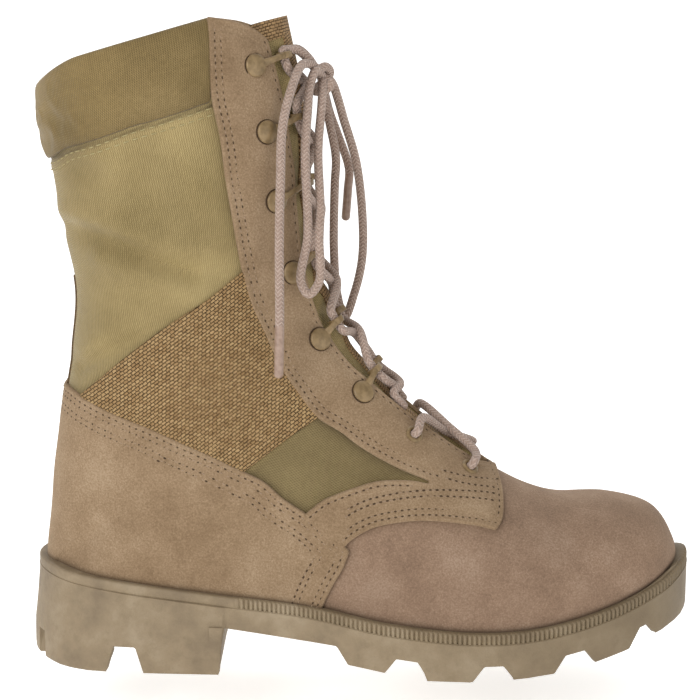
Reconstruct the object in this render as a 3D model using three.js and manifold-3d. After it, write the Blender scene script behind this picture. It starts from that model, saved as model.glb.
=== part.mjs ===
// Right combat boot with a ten inch shaft and a speed-lace front.
// Millimetres, +Z up, toe towards +X, outer side of the foot towards -Y.
import * as THREE from 'three';
import Module from 'manifold-3d';

const wasm = await Module();
wasm.setup();
const { Manifold, Mesh } = wasm;

// Driving dimensions.
const wall = 2;
const cutGap = 0.3;
const rimWidth = 5.2;
const rimHeight = 4.8;
const sockDepth = 5.5;
const insoleThick = 4;
const facing = 1.6;
const collarPad = 2.8;
const tongueThick = 2.5;
const laceSize = 3.8;
const discRadius = 5;
const ringWidth = 6.4;
const ringHeight = 6.8;
const ringLength = 3.2;
const eyeletOuter = 4.1;
const eyeletHole = 2.2;

// Sections of the last from the toe to the collar. Each is a slice through the ridge
// (front line) and the base (feather edge, then back seam), written as [x, z].
// girth and sole are [outer, inner] half widths at the widest place and at the base,
// shift moves the ridge sideways and box squares the profile [front, back].
const stations = [
  { at: 'toe tip', ridge: [302, 40], base: [302, 40],
    girth: [0, 0], sole: [0, 0], shift: 3.5, box: [0.9, 1] },
  { at: 'toe front', ridge: [300.3, 51], base: [298, 37],
    girth: [12, 16], sole: [11, 15], shift: 3, box: [0.9, 1] },
  { at: 'toe box', ridge: [291, 65], base: [286, 31.5],
    girth: [28, 33.5], sole: [26, 31.5], shift: 2, box: [0.9, 1] },
  { at: 'toe root', ridge: [271, 71], base: [262, 23.5],
    girth: [41, 45], sole: [39.5, 43], shift: 0, box: [0.9, 1] },
  { at: 'vamp', ridge: [246, 72], base: [233, 17.5],
    girth: [49, 49.5], sole: [47.5, 48], shift: -1.5, box: [0.95, 1] },
  { at: 'ball', ridge: [222, 81], base: [203, 16],
    girth: [51, 48.5], sole: [49.5, 46], shift: -2.5, box: [1, 1] },
  { at: 'throat', ridge: [197, 97.5], base: [166, 19],
    girth: [47.5, 41], sole: [46, 37.5], shift: -3.5, box: [1, 1] },
  { at: 'instep', ridge: [173, 118.5], base: [130, 25.5],
    girth: [42, 36.5], sole: [40, 32], shift: -4, box: [1, 1] },
  { at: 'waist', ridge: [155, 139], base: [86, 30.5],
    girth: [39, 37.5], sole: [37, 35.5], shift: -3, box: [1, 0.9] },
  { at: 'heel side', ridge: [146, 155], base: [46, 35.5],
    girth: [37.5, 37], sole: [34.5, 34.5], shift: -2, box: [1, 0.88] },
  { at: 'heel curve', ridge: [141, 166], base: [22, 38.8],
    girth: [36.5, 36.5], sole: [26, 26], shift: -1.5, box: [1, 0.92] },
  { at: 'heel back', ridge: [137.5, 177], base: [9, 39.5],
    girth: [36, 36], sole: [0, 0], shift: -1, box: [1, 0.92] },
  { at: 'ankle bone', ridge: [133.5, 195], base: [15.3, 97],
    girth: [35.5, 35.5], sole: [0, 0], shift: 0, box: [1, 0.88] },
  { at: 'ankle', ridge: [131, 214], base: [22, 141],
    girth: [36.5, 36], sole: [0, 0], shift: 0, box: [1, 0.85] },
  { at: 'shaft', ridge: [129.5, 233], base: [24.3, 170],
    girth: [38, 38], sole: [0, 0], shift: 0, box: [1, 0.9] },
  { at: 'collar seam', ridge: [126, 256], base: [17.8, 207],
    girth: [39.5, 39.5], sole: [0, 0], shift: 0, box: [1, 0.95] },
  { at: 'collar', ridge: [118.5, 291.5], base: [9.3, 257.5],
    girth: [41, 41], sole: [0, 0], shift: 0, box: [1, 1] },
];
const heelBack = 11;
const collar = 16;

// Half gap of the throat between the facings, a row for each height up the front.
const throat = [
  { s: 5.35, gap: 0 },
  { s: 5.6, gap: 7.5 },
  { s: 6.5, gap: 10 },
  { s: 8, gap: 13 },
  { s: 10.5, gap: 15.5 },
  { s: 13, gap: 17.5 },
  { s: 15, gap: 19 },
  { s: 15.6, gap: 21 },
  { s: 15.9, gap: 26 },
  { s: 16.05, gap: 33 },
  { s: 16.6, gap: 60 },
];

// Side view outlines [x, z] of the proud panels.
const facingOutline = [
  [89, 296], [89, 268], [90, 255], [95, 223], [100, 190], [105, 167], [114, 146], [126, 125],
  [145, 108], [165, 95], [181, 86.5], [161, 87], [144, 82], [131, 73], [139, 66], [148, 57.5],
  [159, 67], [179, 70], [204, 67], [217, 63], [217.5, 76], [214, 90], [222, 104], [160, 165], [150, 310],
];
const counterOutline = [
  [-10, 126], [23, 125.5], [32, 122], [61, 111], [87, 99], [111, 87], [131, 72.5], [148, 57],
  [140, 42], [136, 20], [-10, 20],
];
const strapOutline = [
  [26, 122], [30, 125], [69, 157], [102, 181], [130, 150], [140, 110], [102, 92], [60, 90],
];
const collarOutline = [[-20, 214], [18, 228], [25, 232], [55, 242], [90, 253], [89, 330], [-20, 330]];

// Sole profile: lowest line of the lugs and lowest line of the body between them.
const groundLine = [
  { x: 146, z: 6 }, { x: 165, z: 2.9 }, { x: 184, z: 0 }, { x: 214, z: 0 }, { x: 222, z: 1 },
  { x: 240, z: 2.7 }, { x: 259, z: 6.2 }, { x: 275, z: 9.8 }, { x: 292, z: 15 }, { x: 309, z: 21 },
];
const bodyLine = [
  { x: -5, z: 12 }, { x: 89, z: 12 }, { x: 91, z: 21 }, { x: 127, z: 16 }, { x: 147, z: 13.5 },
  { x: 170, z: 9.5 }, { x: 190, z: 7.2 }, { x: 206, z: 7 }, { x: 225, z: 7.6 }, { x: 242, z: 10.2 },
  { x: 260, z: 13.5 }, { x: 277, z: 18 }, { x: 292, z: 22.5 }, { x: 312, z: 29 },
];
// Forefoot lugs: rear and front edge at the ground, and how far they lean forward
// towards the middle of the sole.
const lugs = [
  { rear: 148, front: 164.5, lean: 12 },
  { rear: 184, front: 203.5, lean: 9 },
  { rear: 222, front: 240, lean: 5 },
  { rear: 259, front: 275, lean: -3 },
];
const lugTaper = 4;
const heelFlare = 2.8;

const colours = {
  sole: 0x9f8f6e, board: 0x8a7a5c, nylon: 0xa39868, suede: 0xad977a, webbing: 0x8f744d,
  metal: 0xa39267, lace: 0xb39e92,
};

const mix = (a, b, t) => a + (b - a) * t;

// Catmull-Rom through one column of the stations. Past the toe tip, and past the heel
// back for the feather edge, positions mirror and widths change sign, which closes the
// toe and the heel smoothly in plan.
function column(key, place, s) {
  const at = (i) => stations[i][key][place];
  const odd = key === 'girth' || key === 'sole' ? -1 : 1;
  const edge = key === 'base' || key === 'sole';
  const value = (i) => {
    if (i < 0) return odd * at(-i);
    if (edge && s < heelBack && i > heelBack) return odd * at(2 * heelBack - i);
    if (edge && s >= heelBack && i < heelBack) return 2 * at(heelBack) - at(2 * heelBack - i);
    return i > collar ? 2 * at(collar) - at(2 * collar - i) : at(i);
  };
  const i = Math.min(Math.floor(s), collar);
  const t = s - i;
  const [a, b, c, d] = [value(i - 1), value(i), value(i + 1), value(i + 2)];
  return b + 0.5 * t * (c - a + t * (2 * a - 5 * b + 4 * c - d + t * (3 * (b - c) + d - a)));
}

function shiftAt(s) {
  const i = Math.min(Math.floor(s), collar - 1);
  return mix(stations[i].shift, stations[i + 1].shift, Math.min(s - i, 1));
}

// Half width and fraction along the trace for one side of one section. The angle runs
// from 0 at the ridge to endAngle at the base; side is 0 for outer and 1 for inner.
function profile(s, side) {
  const shift = shiftAt(s) * (side ? -1 : 1);
  const width = Math.max(column('girth', side, s) + shift * Math.min(s, 1), 0);
  const sole = s >= heelBack ? 0 : Math.max(column('sole', side, s) + shift * Math.min(s, 1), 0);
  const back = column('box', 1, s);
  const ratio = width > 1e-6 ? Math.min(sole / width, 0.995) ** (1 / back) : 0.9;
  const lead = Math.sqrt(1 - ratio * ratio);
  const front = column('box', 0, s);
  return { width, endAngle: Math.PI - Math.asin(ratio), scale: 1 / (1 + lead), front, back };
}

// Point of the last: u runs from -1 (outer base) over 0 (ridge) to 1 (inner base).
function lastPoint(s, u) {
  const side = u > 0 ? 1 : 0;
  const { width, endAngle, scale, front, back } = profile(s, side);
  const angle = Math.abs(u) * endAngle;
  const q = scale * (1 - Math.cos(angle));
  const y = width * Math.max(Math.sin(angle), 0) ** (angle < Math.PI / 2 ? front : back);
  return new THREE.Vector3(
    mix(column('ridge', 0, s), column('base', 0, s), q),
    shiftAt(s) + (side ? y : -y),
    mix(column('ridge', 1, s), column('base', 1, s), q),
  );
}

function lastNormal(s, u) {
  if (s < 1e-6) return new THREE.Vector3(1, 0, 0);
  const step = 0.01;
  const along = lastPoint(s + step, u).sub(lastPoint(Math.max(s - step, 0), u));
  const across = lastPoint(s, Math.min(u + step, 1)).sub(lastPoint(s, Math.max(u - step, -1)));
  const normal = across.cross(along);
  if (s >= heelBack && Math.abs(u) > 0.999) normal.y = 0;
  return normal.normalize();
}

const offsetPoint = (s, u, offset) => lastPoint(s, u).addScaledVector(lastNormal(s, u), offset);

// Rows of the mesh along the last, closer together where it turns.
const meshRows = [0, 0.3, 0.65, 1, 1.4, 1.9, 2.5, 3.3, 4.2, 5, 5.8, 6.6, 7.4, 8.2, 8.9, 9.5, 10, 10.4,
  10.7, 10.9, 11, 11.4, 12.1, 12.9, 13.7, 14.4, 15.1, 15.6, 16];
const columnsAcross = 20;

const rowsBetween = (from, to) => [...meshRows.filter((s) => s >= from && s < to - 0.05), to];

// One sheet of the last at an offset: points and faces, welded at the toe tip and
// down the back seam, for u between -span and span.
function sheet(rows, offset, span = 1, across = columnsAcross) {
  const points = [];
  const ids = rows.map((s) => {
    const row = [];
    for (let j = 0; j <= across; j++) {
      const u = span * ((2 * j) / across - 1);
      const welded = (s < 1e-6 && j > 0) || (s >= heelBack && span === 1 && j === across);
      if (!welded) points.push(offsetPoint(s, u, offset));
      row.push(welded ? row[0] : points.length - 1);
    }
    return row;
  });
  const faces = [];
  for (let i = 0; i + 1 < rows.length; i++) {
    for (let j = 0; j < across; j++) {
      const [a, b] = [ids[i][j], ids[i][j + 1]];
      const [c, d] = [ids[i + 1][j + 1], ids[i + 1][j]];
      if (2 * j < across) faces.push([a, b, c], [a, c, d]);
      else faces.push([a, b, d], [b, c, d]);
    }
  }
  return { points, ids, faces: faces.filter(([a, b, c]) => a !== b && b !== c && a !== c) };
}

function solidOf(points, faces) {
  const build = (list) => new Manifold(new Mesh({
    numProp: 3,
    vertProperties: new Float32Array(points.flatMap((p) => [p.x, p.y, p.z])),
    triVerts: new Uint32Array(list.flat()),
  }));
  const first = build(faces);
  return first.volume() > 0 ? first : build(faces.map(([a, b, c]) => [a, c, b]));
}

// Solid between two offsets of the last, with its open edges closed by strips.
function thicken(rows, outer, inner, span, across) {
  const skin = sheet(rows, outer, span, across);
  const lining = sheet(rows, inner, span, across);
  const count = skin.points.length;
  const edges = new Map();
  for (const face of skin.faces) {
    face.forEach((a, k) => {
      const b = face[(k + 1) % 3];
      if (!edges.delete(`${b},${a}`)) edges.set(`${a},${b}`, [a, b]);
    });
  }
  const faces = [...skin.faces, ...lining.faces.map(([a, b, c]) => [a + count, c + count, b + count])];
  for (const [a, b] of edges.values()) faces.push([b, a, a + count], [b, a + count, b + count]);
  return solidOf([...skin.points, ...lining.points], faces);
}

// Closed body of the last at an offset, its underside lowered by drop.
function closedLast(offset, drop) {
  const rows = rowsBetween(0, 16.7);
  const { points, ids, faces } = sheet(rows, offset);
  const lowered = new Map();
  const lower = (id) => {
    if (!lowered.has(id)) {
      points.push(points[id].clone().add(new THREE.Vector3(0, 0, -drop)));
      lowered.set(id, points.length - 1);
    }
    return lowered.get(id);
  };
  const keep = (a, b, c) => {
    if (a !== b && b !== c && a !== c) faces.push([a, b, c]);
  };
  const last = columnsAcross;
  for (let i = 0; rows[i] < heelBack; i++) {
    const [a, b, c, d] = [ids[i][0], ids[i + 1][0], ids[i + 1][last], ids[i][last]];
    const [e, f, g, h] = [a, b, c, d].map(lower);
    keep(a, b, f);
    keep(a, f, e);
    keep(c, d, h);
    keep(c, h, g);
    keep(e, f, g);
    keep(e, g, h);
  }
  const ring = ids[rows.length - 1].slice(0, last);
  points.push(ring.reduce((sum, id) => sum.add(points[id]), new THREE.Vector3()).divideScalar(last));
  ring.forEach((id, k) => keep(id, ring[(k + 1) % last], points.length - 1));
  return solidOf(points, faces);
}

function fromGeometry(geometry) {
  const position = geometry.attributes.position;
  const seen = new Map();
  const points = [];
  const remap = [];
  for (let i = 0; i < position.count; i++) {
    const p = new THREE.Vector3().fromBufferAttribute(position, i);
    const key = p.toArray().map((v) => Math.round(v * 1e4)).join();
    if (!seen.has(key)) {
      seen.set(key, points.length);
      points.push(p);
    }
    remap.push(seen.get(key));
  }
  const order = geometry.index ? Array.from(geometry.index.array) : remap.map((_, i) => i);
  const faces = [];
  for (let i = 0; i < order.length; i += 3) {
    const face = [remap[order[i]], remap[order[i + 1]], remap[order[i + 2]]];
    if (new Set(face).size === 3) faces.push(face);
  }
  return solidOf(points, faces);
}

const shapeOf = (points) => new THREE.Shape(points.map(([x, y]) => new THREE.Vector2(x, y)));

// Side view outline carried across the boot from y = from to y = to.
function sidePrism(points, from, to) {
  const geometry = new THREE.ExtrudeGeometry(shapeOf(points), { depth: to - from, bevelEnabled: false });
  geometry.rotateX(Math.PI / 2);
  geometry.translate(0, to, 0);
  return fromGeometry(geometry);
}

// Plan outline carried from z = from to z = to.
function planPrism(points, from, to) {
  const geometry = new THREE.ExtrudeGeometry(shapeOf(points), { depth: to - from, bevelEnabled: false });
  geometry.translate(0, 0, from);
  return fromGeometry(geometry);
}

// Feather line in plan, moved outwards by an offset.
function featherPlan(offset) {
  const rows = rowsBetween(0, heelBack);
  const edge = (u) => rows.map((s) => {
    const p = lastPoint(s, u);
    const a = lastPoint(Math.max(s - 0.05, 0), s < 0.05 ? -u : u);
    const b = lastPoint(Math.min(s + 0.05, heelBack), u);
    const run = s < 0.05 || s > heelBack - 0.05 ? [0, u] : [b.x - a.x, b.y - a.y];
    if (s > heelBack - 0.05) run[1] = -u;
    const length = Math.hypot(...run) || 1;
    return [p.x + (offset * run[1] * u) / length, p.y - (offset * run[0] * u) / length];
  });
  const outer = edge(-1);
  const inner = edge(1).slice(1, -1).reverse();
  return [...outer, ...inner];
}

// Height of the feather line at a length x.
function featherHeight(x) {
  let low = 0;
  let high = heelBack;
  for (let k = 0; k < 40; k++) {
    const middle = (low + high) / 2;
    if (column('base', 0, middle) > x) low = middle;
    else high = middle;
  }
  return column('base', 1, low);
}

function lineHeight(rows, x) {
  const i = Math.max(rows.findIndex((row) => row.x >= x), 1);
  const [a, b] = [rows[i - 1], rows[i]];
  return mix(a.z, b.z, (x - a.x) / (b.x - a.x));
}

// Side band between two height functions.
function bandPrism(lower, upper, from, to, steps) {
  const xs = Array.from({ length: steps + 1 }, (_, k) => mix(from, to, k / steps));
  const outline = [...xs.map((x) => [x, lower(x)]), ...xs.reverse().map((x) => [x, upper(x)])];
  return sidePrism(outline, -70, 70);
}

const ledge = (x) => featherHeight(x) + sockDepth;

const underLedge = bandPrism(() => -20, ledge, -5, 312, 22);

function outsole() {
  const rim = planPrism(featherPlan(rimWidth), -5, 60)
    .intersect(underLedge).intersect(bandPrism((x) => ledge(x) - rimHeight, () => 80, -5, 312, 22));
  const body = planPrism(featherPlan(rimWidth - 1.4), -5, 60)
    .intersect(sidePrism([
      ...bodyLine.map(({ x, z }) => [x, z]),
      ...Array.from({ length: 20 }, (_, k) => [312 - k * 16.6, ledge(312 - k * 16.6) - rimHeight + 0.6]),
    ], -70, 70));
  const heelBlock = planPrism(featherPlan(rimWidth + heelFlare / 2), 12, 24)
    .intersect(sidePrism([[-10, 12], [89, 12], [90.5, 20], [60, 24], [-10, 24]], -70, 70));
  const blocks = lugs.flatMap(({ rear, front, lean }) => [-1, 1].map((side) => {
    const [low, high] = [lineHeight(groundLine, rear), lineHeight(groundLine, front)];
    const top = lineHeight(bodyLine, (rear + front) / 2) + 3;
    const outline = [[rear, low], [front, high], [front + lugTaper, top], [rear - lugTaper, top]];
    const slope = (-side * lean) / 40;
    return sidePrism(outline, side < 0 ? -70 : 9, side < 0 ? -9 : 70)
      .transform([1, 0, 0, 0, slope, 1, 0, 0, 0, 0, 1, 0, -side * slope * 50, 0, 0, 1]);
  }));
  const toeLug = sidePrism([[288, 14.5], [302.5, 18], [312, 22], [312, 34], [302, 30], [288, 24]], -70, 70);
  const forefoot = [...blocks, toeLug].reduce((sum, block) => sum.add(block))
    .intersect(planPrism(featherPlan(rimWidth), -5, 60));
  const heelLugs = [-1, 1].flatMap((side) => [
    planPrism([[9, side * 70], [39, side * 70], [39, side * 13], [20, side * 13]], 0, 13),
    planPrism([[56, side * 70], [90, side * 70], [90, side * 12], [56, side * 12]], 0, 13),
  ]);
  const heelRear = planPrism([[-5, -15], [10, -15], [17, -9], [17, 9], [10, 15], [-5, 15]], 0, 13);
  const breast = sidePrism([[86, 12], [90, 0.4], [92, 22], [86, 22]], -70, 70);
  const heel = [...heelLugs, heelRear, breast].reduce((sum, block) => sum.add(block))
    .intersect(planPrism(featherPlan(rimWidth + heelFlare), -5, 60));
  return [body, heelBlock, forefoot, heel].reduce((sum, block) => sum.add(block), rim)
    .subtract(closedLast(cutGap, 0.9)).subtract(closedLast(cutGap + 0.3, 0.9));
}

function insole() {
  const inside = closedLast(-wall - cutGap - 1, 3);
  const underside = (x) => featherHeight(x) + cutGap + 0.1;
  const band = bandPrism(underside, (x) => featherHeight(x) + insoleThick, 5, 304, 12);
  return inside.intersect(band);
}

const gapAt = (s) => {
  const i = Math.max(throat.findIndex((row) => row.s >= s), 1);
  const [a, b] = [throat[i - 1], throat[i]];
  return Math.max(mix(a.gap, b.gap, (s - a.s) / (b.s - a.s)), 0);
};

// Wedge that follows the ridge: half(s) wide on both sides of it, from front millimetres
// before the last to behind millimetres inside it.
function ridgeWedge(rows, half, front, behind) {
  const points = rows.flatMap((s) => {
    const ridge = lastPoint(s, 0);
    const base = new THREE.Vector3(column('base', 0, s), ridge.y, column('base', 1, s));
    const inward = base.sub(ridge).normalize();
    return [[-front, -1], [-front, 1], [behind, 1], [behind, -1]].map(([depth, side]) => ridge.clone()
      .addScaledVector(inward, depth).add(new THREE.Vector3(0, side * half(s), 0)));
  });
  const faces = [[0, 1, 2], [0, 2, 3]];
  const end = points.length - 4;
  for (let i = 0; i < end; i += 4) {
    for (let k = 0; k < 4; k++) {
      const [a, b] = [i + k, i + ((k + 1) % 4)];
      faces.push([a, a + 4, b + 4], [a, b + 4, b]);
    }
  }
  faces.push([end, end + 2, end + 1], [end, end + 3, end + 2]);
  return solidOf(points, faces);
}

const throatRows = throat.flatMap((row, i) => {
  return i ? [mix(throat[i - 1].s, row.s, 0.5), row.s] : [row.s + 0.02];
});
const opening = ridgeWedge(throatRows, gapAt, 14, 16);
const widerOpening = ridgeWedge(throatRows, (s) => gapAt(s) + 0.5, 14, 16);

function upper() {
  return thicken(rowsBetween(0, collar), 0, -wall).subtract(widerOpening);
}

function tongue() {
  const face = -wall - 0.9;
  return thicken(rowsBetween(5, 16.1), face, face - tongueThick, 0.27, 8);
}

// Proud panel: a plate over the upper cut by a side view outline on one or both sides.
function plate(rows, thickness, outline, from, to) {
  return thicken(rows, cutGap + thickness, cutGap).intersect(sidePrism(outline, from, to));
}

const nudge = (body, x, z) => body.translate([x, 0, z]);
const counterForm = sidePrism(counterOutline, -70, 70);
const facingForm = sidePrism(facingOutline, -70, 70);

// The outer and inner halves of a pair, in that order.
const halves = (body) => body.decompose()
  .sort((a, b) => a.boundingBox().min[1] - b.boundingBox().min[1]);

function heelCounter() {
  return thicken(rowsBetween(5.8, 13.7), cutGap + facing, cutGap + 0.15)
    .intersect(counterForm).subtract(nudge(underLedge, 0, cutGap));
}

function eyestays() {
  const slit = ridgeWedge([3.4, 5.8], () => 0.4, 14, 16);
  return halves(plate(rowsBetween(4.2, collar), facing, facingOutline, -70, 70)
    .subtract(opening).subtract(slit).subtract(nudge(counterForm, 0.4, 0.4)));
}

function collarRoll() {
  const roll = thicken([...rowsBetween(14.4, 15.9), collar, 16.12], cutGap + collarPad, cutGap);
  return roll.intersect(sidePrism(collarOutline, -70, 70)).subtract(nudge(facingForm, -0.5, 0));
}

function ankleStraps() {
  const middle = planPrism([[-20, -3], [170, -3], [170, 3], [-20, 3]], 0, 300);
  return halves(plate(rowsBetween(5.8, 15.1), facing - 0.3, strapOutline, -70, 70)
    .subtract(nudge(facingForm, -0.5, -0.3)).subtract(nudge(counterForm, 0.2, 0.5)).subtract(middle));
}

// Place on the outer or inner side at a distance from the edge of the throat.
function besideThroat(s, side, distance) {
  let u = 0;
  const reach = gapAt(s);
  while (Math.abs(lastPoint(s, u).y - shiftAt(s)) < reach) u += side * 0.002;
  let walked = 0;
  const step = distance > 0 ? side * 0.002 : -side * 0.002;
  while (walked < Math.abs(distance)) {
    walked += lastPoint(s, u).distanceTo(lastPoint(s, u + step));
    u += step;
  }
  return u;
}

// Frame on the last: z out of the surface, x up the front, y across it.
function frameAt(s, u, offset) {
  const out = lastNormal(s, u);
  const up = lastPoint(s + 0.05, u).sub(lastPoint(s - 0.05, u));
  up.addScaledVector(out, -up.dot(out)).normalize();
  const across = out.clone().cross(up);
  const matrix = new THREE.Matrix4().makeBasis(up, across, out);
  return matrix.setPosition(offsetPoint(s, u, offset));
}

// Fittings from the top down: height s on the last and distance from the throat edge.
const fittings = [
  { s: 15.55, inset: 10.8 }, { s: 14.72, inset: 13 }, { s: 13.35, inset: 12.5 },
  { s: 11.7, inset: 8 }, { s: 9.3, inset: 5.6 }, { s: 7.7, inset: 7.1 },
];
const eyeletPlaces = [{ s: 6.68, inset: 9.3 }, { s: 5.72, inset: 9 }];
const ringReach = -(ringWidth / 2 + 2.5);
const ringLift = 2.8;

// Flat bar between two points, its face square to out.
function flatBar(from, to, out, width, thick) {
  const run = to.clone().sub(from);
  const bar = new THREE.BoxGeometry(width, run.length(), thick);
  const along = run.clone().normalize();
  const beside = along.clone().cross(out).normalize();
  const matrix = new THREE.Matrix4().makeBasis(beside, along, beside.clone().cross(along));
  bar.applyMatrix4(matrix.setPosition(from.clone().add(to).multiplyScalar(0.5)));
  return fromGeometry(bar);
}

const square = (a, b) => [[a, b], [-a, b], [-a, -b], [a, -b]];

// Riveted disc, flat neck and the ring that the lace runs through.
function speedLoop({ s, inset }, side) {
  const discFrame = frameAt(s, besideThroat(s, side, inset), cutGap + facing + 0.4);
  const disc = new THREE.LatheGeometry([[0, 0], [discRadius, 0], [discRadius, 1.1], [0, 2]]
    .map(([r, z]) => new THREE.Vector2(r, z)), 9);
  disc.rotateX(Math.PI / 2);
  disc.applyMatrix4(discFrame);
  const ringFrame = frameAt(s, besideThroat(s, side, ringReach), ringLift);
  const ringShape = shapeOf(square(ringWidth / 2, ringHeight / 2));
  ringShape.holes.push(shapeOf(square(ringWidth / 2 - 0.9, ringHeight / 2 - 0.9)));
  const ring = new THREE.ExtrudeGeometry(ringShape, { depth: ringLength, bevelEnabled: false });
  ring.translate(0, 0, -ringLength / 2);
  ring.applyMatrix4(new THREE.Matrix4().makeBasis(
    new THREE.Vector3(0, 1, 0), new THREE.Vector3(0, 0, 1), new THREE.Vector3(1, 0, 0)));
  ring.applyMatrix4(ringFrame);
  const near = -Math.sign(new THREE.Vector3().setFromMatrixPosition(discFrame)
    .applyMatrix4(ringFrame.clone().invert()).y);
  const rivet = new THREE.Vector3(0, 0, 1.5).applyMatrix4(discFrame);
  const wallPoint = new THREE.Vector3(0, -near * (ringWidth / 2 - 0.4), 2.6).applyMatrix4(ringFrame);
  const out = new THREE.Vector3(0, 0, 1).transformDirection(discFrame);
  const neck = flatBar(rivet, wallPoint, out, 2.8, 0.8);
  return fromGeometry(disc).add(neck).add(fromGeometry(ring));
}

// Flat flanged ring round a lace hole.
function eyelet({ s, inset }, side) {
  const matrix = frameAt(s, besideThroat(s, side, inset), cutGap + facing + 0.55);
  const ring = new THREE.LatheGeometry([[eyeletHole, 0], [eyeletOuter, 0], [3.2, 0.7], [eyeletHole, 0]]
    .map(([r, z]) => new THREE.Vector2(r, z)), 12);
  ring.rotateX(Math.PI / 2);
  ring.applyMatrix4(matrix);
  return fromGeometry(ring);
}

// Round cord through a list of [x, y, z] points.
function cord(points, steps, size = laceSize) {
  const path = new THREE.CatmullRomCurve3(points.map((p) => new THREE.Vector3(...p)), false, 'centripetal');
  const round = new THREE.Shape(new THREE.EllipseCurve(0, 0, size / 2, size / 2, 0, 2 * Math.PI).getPoints(8)
    .slice(0, 8));
  return fromGeometry(new THREE.ExtrudeGeometry(round, { steps, extrudePath: path, curveSegments: 8 }));
}

// Where the lace meets each fitting, from the lowest eyelet up: on its way in from
// below, over an eyelet or under a ring, and on its way out above, from behind the
// facing or over the ring.
function laceStops(side) {
  const eyelets = [...eyeletPlaces].reverse().map(({ s, inset }) => {
    const over = new THREE.Vector3(0, 0, laceSize / 2 + 1.9).applyMatrix4(
      frameAt(s, besideThroat(s, side, inset), cutGap + facing + 0.55));
    const edge = offsetPoint(s, besideThroat(s, side, 1.5), facing + laceSize / 2 + 2.2);
    return { below: [over, edge], above: [over, edge] };
  });
  eyelets[1].above = [6.95, 7.2].map((s, k) => offsetPoint(s, besideThroat(s, side, -3 - k), 0.4 + k));
  const rings = [...fittings].reverse().map(({ s }) => {
    const frame = frameAt(s, besideThroat(s, side, ringReach), ringLift);
    const at = (x, z) => new THREE.Vector3(x, 0, z).applyMatrix4(frame);
    const mouth = ringLength / 2 + 0.5;
    return { below: [at(-mouth, 0), at(-5, 0.3)], above: [at(mouth, 0), at(5, 0.3)] };
  });
  return [...eyelets, ...rings];
}

// One crossing: two cords that pass over each other between two levels, joined.
function crossing(level, stops) {
  const places = [...fittings, ...eyeletPlaces].reverse();
  const [from, to] = [places[level].s, places[level + 1].s];
  const legs = [-1, 1].map((side) => {
    const start = stops[side < 0 ? 0 : 1][level].above;
    const end = stops[side < 0 ? 1 : 0][level + 1].below;
    const middle = offsetPoint((from + to) / 2, 0, side < 0 ? 3.6 : 1.6);
    const route = [start[0], start[1], middle, end[1], end[0]].map((p) => p.toArray());
    return cord(route, level ? 4 : 5);
  });
  return legs[0].add(legs[1]);
}

// Bow in front of the throat: each row is one cord through its points [x, y, z].
const bow = [
  { name: 'lace_knot', steps: 7,
    path: [[134.5, -6.5, 267], [138, -3, 268.5], [140, 2, 266], [138, 5.5, 262], [134.5, 5.5, 259.5],
      [133, 1.5, 258], [135, -3, 257.5], [139, -5.5, 259], [141, -6.5, 262]] },
  { name: 'lace_loop_outer', steps: 11,
    path: [[132, -12, 262], [130.5, -19, 250], [129.5, -25, 231], [130.5, -28.5, 196], [127.5, -31, 176],
      [131, -31.5, 170.5], [135.5, -30, 176], [135.5, -28, 194], [136, -24.5, 207], [135, -18, 232],
      [136.5, -12.5, 252]] },
  { name: 'lace_loop_inner', steps: 12,
    path: [[143.5, 7.5, 255], [146, 12, 245], [152, 18, 224], [155, 21, 195], [154.5, 22, 178],
      [151, 21, 163], [146.5, 19.5, 152], [143, 20, 163], [141.5, 20, 184], [141.5, 19, 197],
      [142, 18, 215], [142.5, 16.5, 227], [139.5, 13, 244]] },
  { name: 'lace_end_outer', steps: 7,
    path: [[129.5, -13, 269], [126, -22, 266], [120, -31, 244], [119, -35.5, 220], [118.5, -39, 195],
      [118.5, -42, 161], [118, -44, 137]] },
  { name: 'lace_end_inner', steps: 4,
    path: [[136, 12, 263], [139.5, 17.5, 250], [143, 23, 238], [148.5, 26.5, 221], [148, 28, 211],
      [147, 29.5, 198]] },
];

const colourOf = (name) => new THREE.MeshStandardMaterial({
  color: colours[name],
  roughness: name === 'metal' ? 0.5 : 0.9,
  metalness: name === 'metal' ? 0.2 : 0,
});

const group = new THREE.Group();

function addNode(name, body, colour) {
  const { vertProperties, triVerts } = body.simplify(0.02).getMesh();
  const geometry = new THREE.BufferGeometry();
  geometry.setAttribute('position', new THREE.BufferAttribute(new Float32Array(vertProperties), 3));
  geometry.setIndex(new THREE.BufferAttribute(new Uint32Array(triVerts), 1));
  geometry.computeVertexNormals();
  const mesh = new THREE.Mesh(geometry, colourOf(colour));
  mesh.name = name;
  group.add(mesh);
}

addNode('outsole', outsole(), 'sole');
addNode('insole', insole(), 'board');
addNode('upper', upper(), 'suede');
addNode('tongue', tongue(), 'nylon');
addNode('heel_counter', heelCounter(), 'suede');
addNode('collar_roll', collarRoll(), 'nylon');
const words = ['outer', 'inner'];
eyestays().forEach((body, k) => addNode(`eyestay_${words[k]}`, body, 'suede'));
ankleStraps().forEach((body, k) => addNode(`ankle_strap_${words[k]}`, body, 'webbing'));
[-1, 1].forEach((side, k) => {
  fittings.forEach((place, i) => addNode(`speed_loop_${words[k]}_${i + 1}`, speedLoop(place, side), 'metal'));
  eyeletPlaces.forEach((place, i) => addNode(`eyelet_${words[k]}_${i + 1}`, eyelet(place, side), 'metal'));
});

const stops = [-1, 1].map(laceStops);
for (let level = 0; level < 7; level++) {
  addNode(`lace_crossing_${level + 1}`, crossing(level, stops), 'lace');
}
for (const { name, steps, path } of bow) addNode(name, cord(path, steps), 'lace');

// The frame's origin is under the middle of the boot, on the floor.
const bounds = new THREE.Box3().setFromObject(group);
const middle = bounds.getCenter(new THREE.Vector3());
group.position.set(-middle.x, -middle.y, -bounds.min.z);

export default group;
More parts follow.
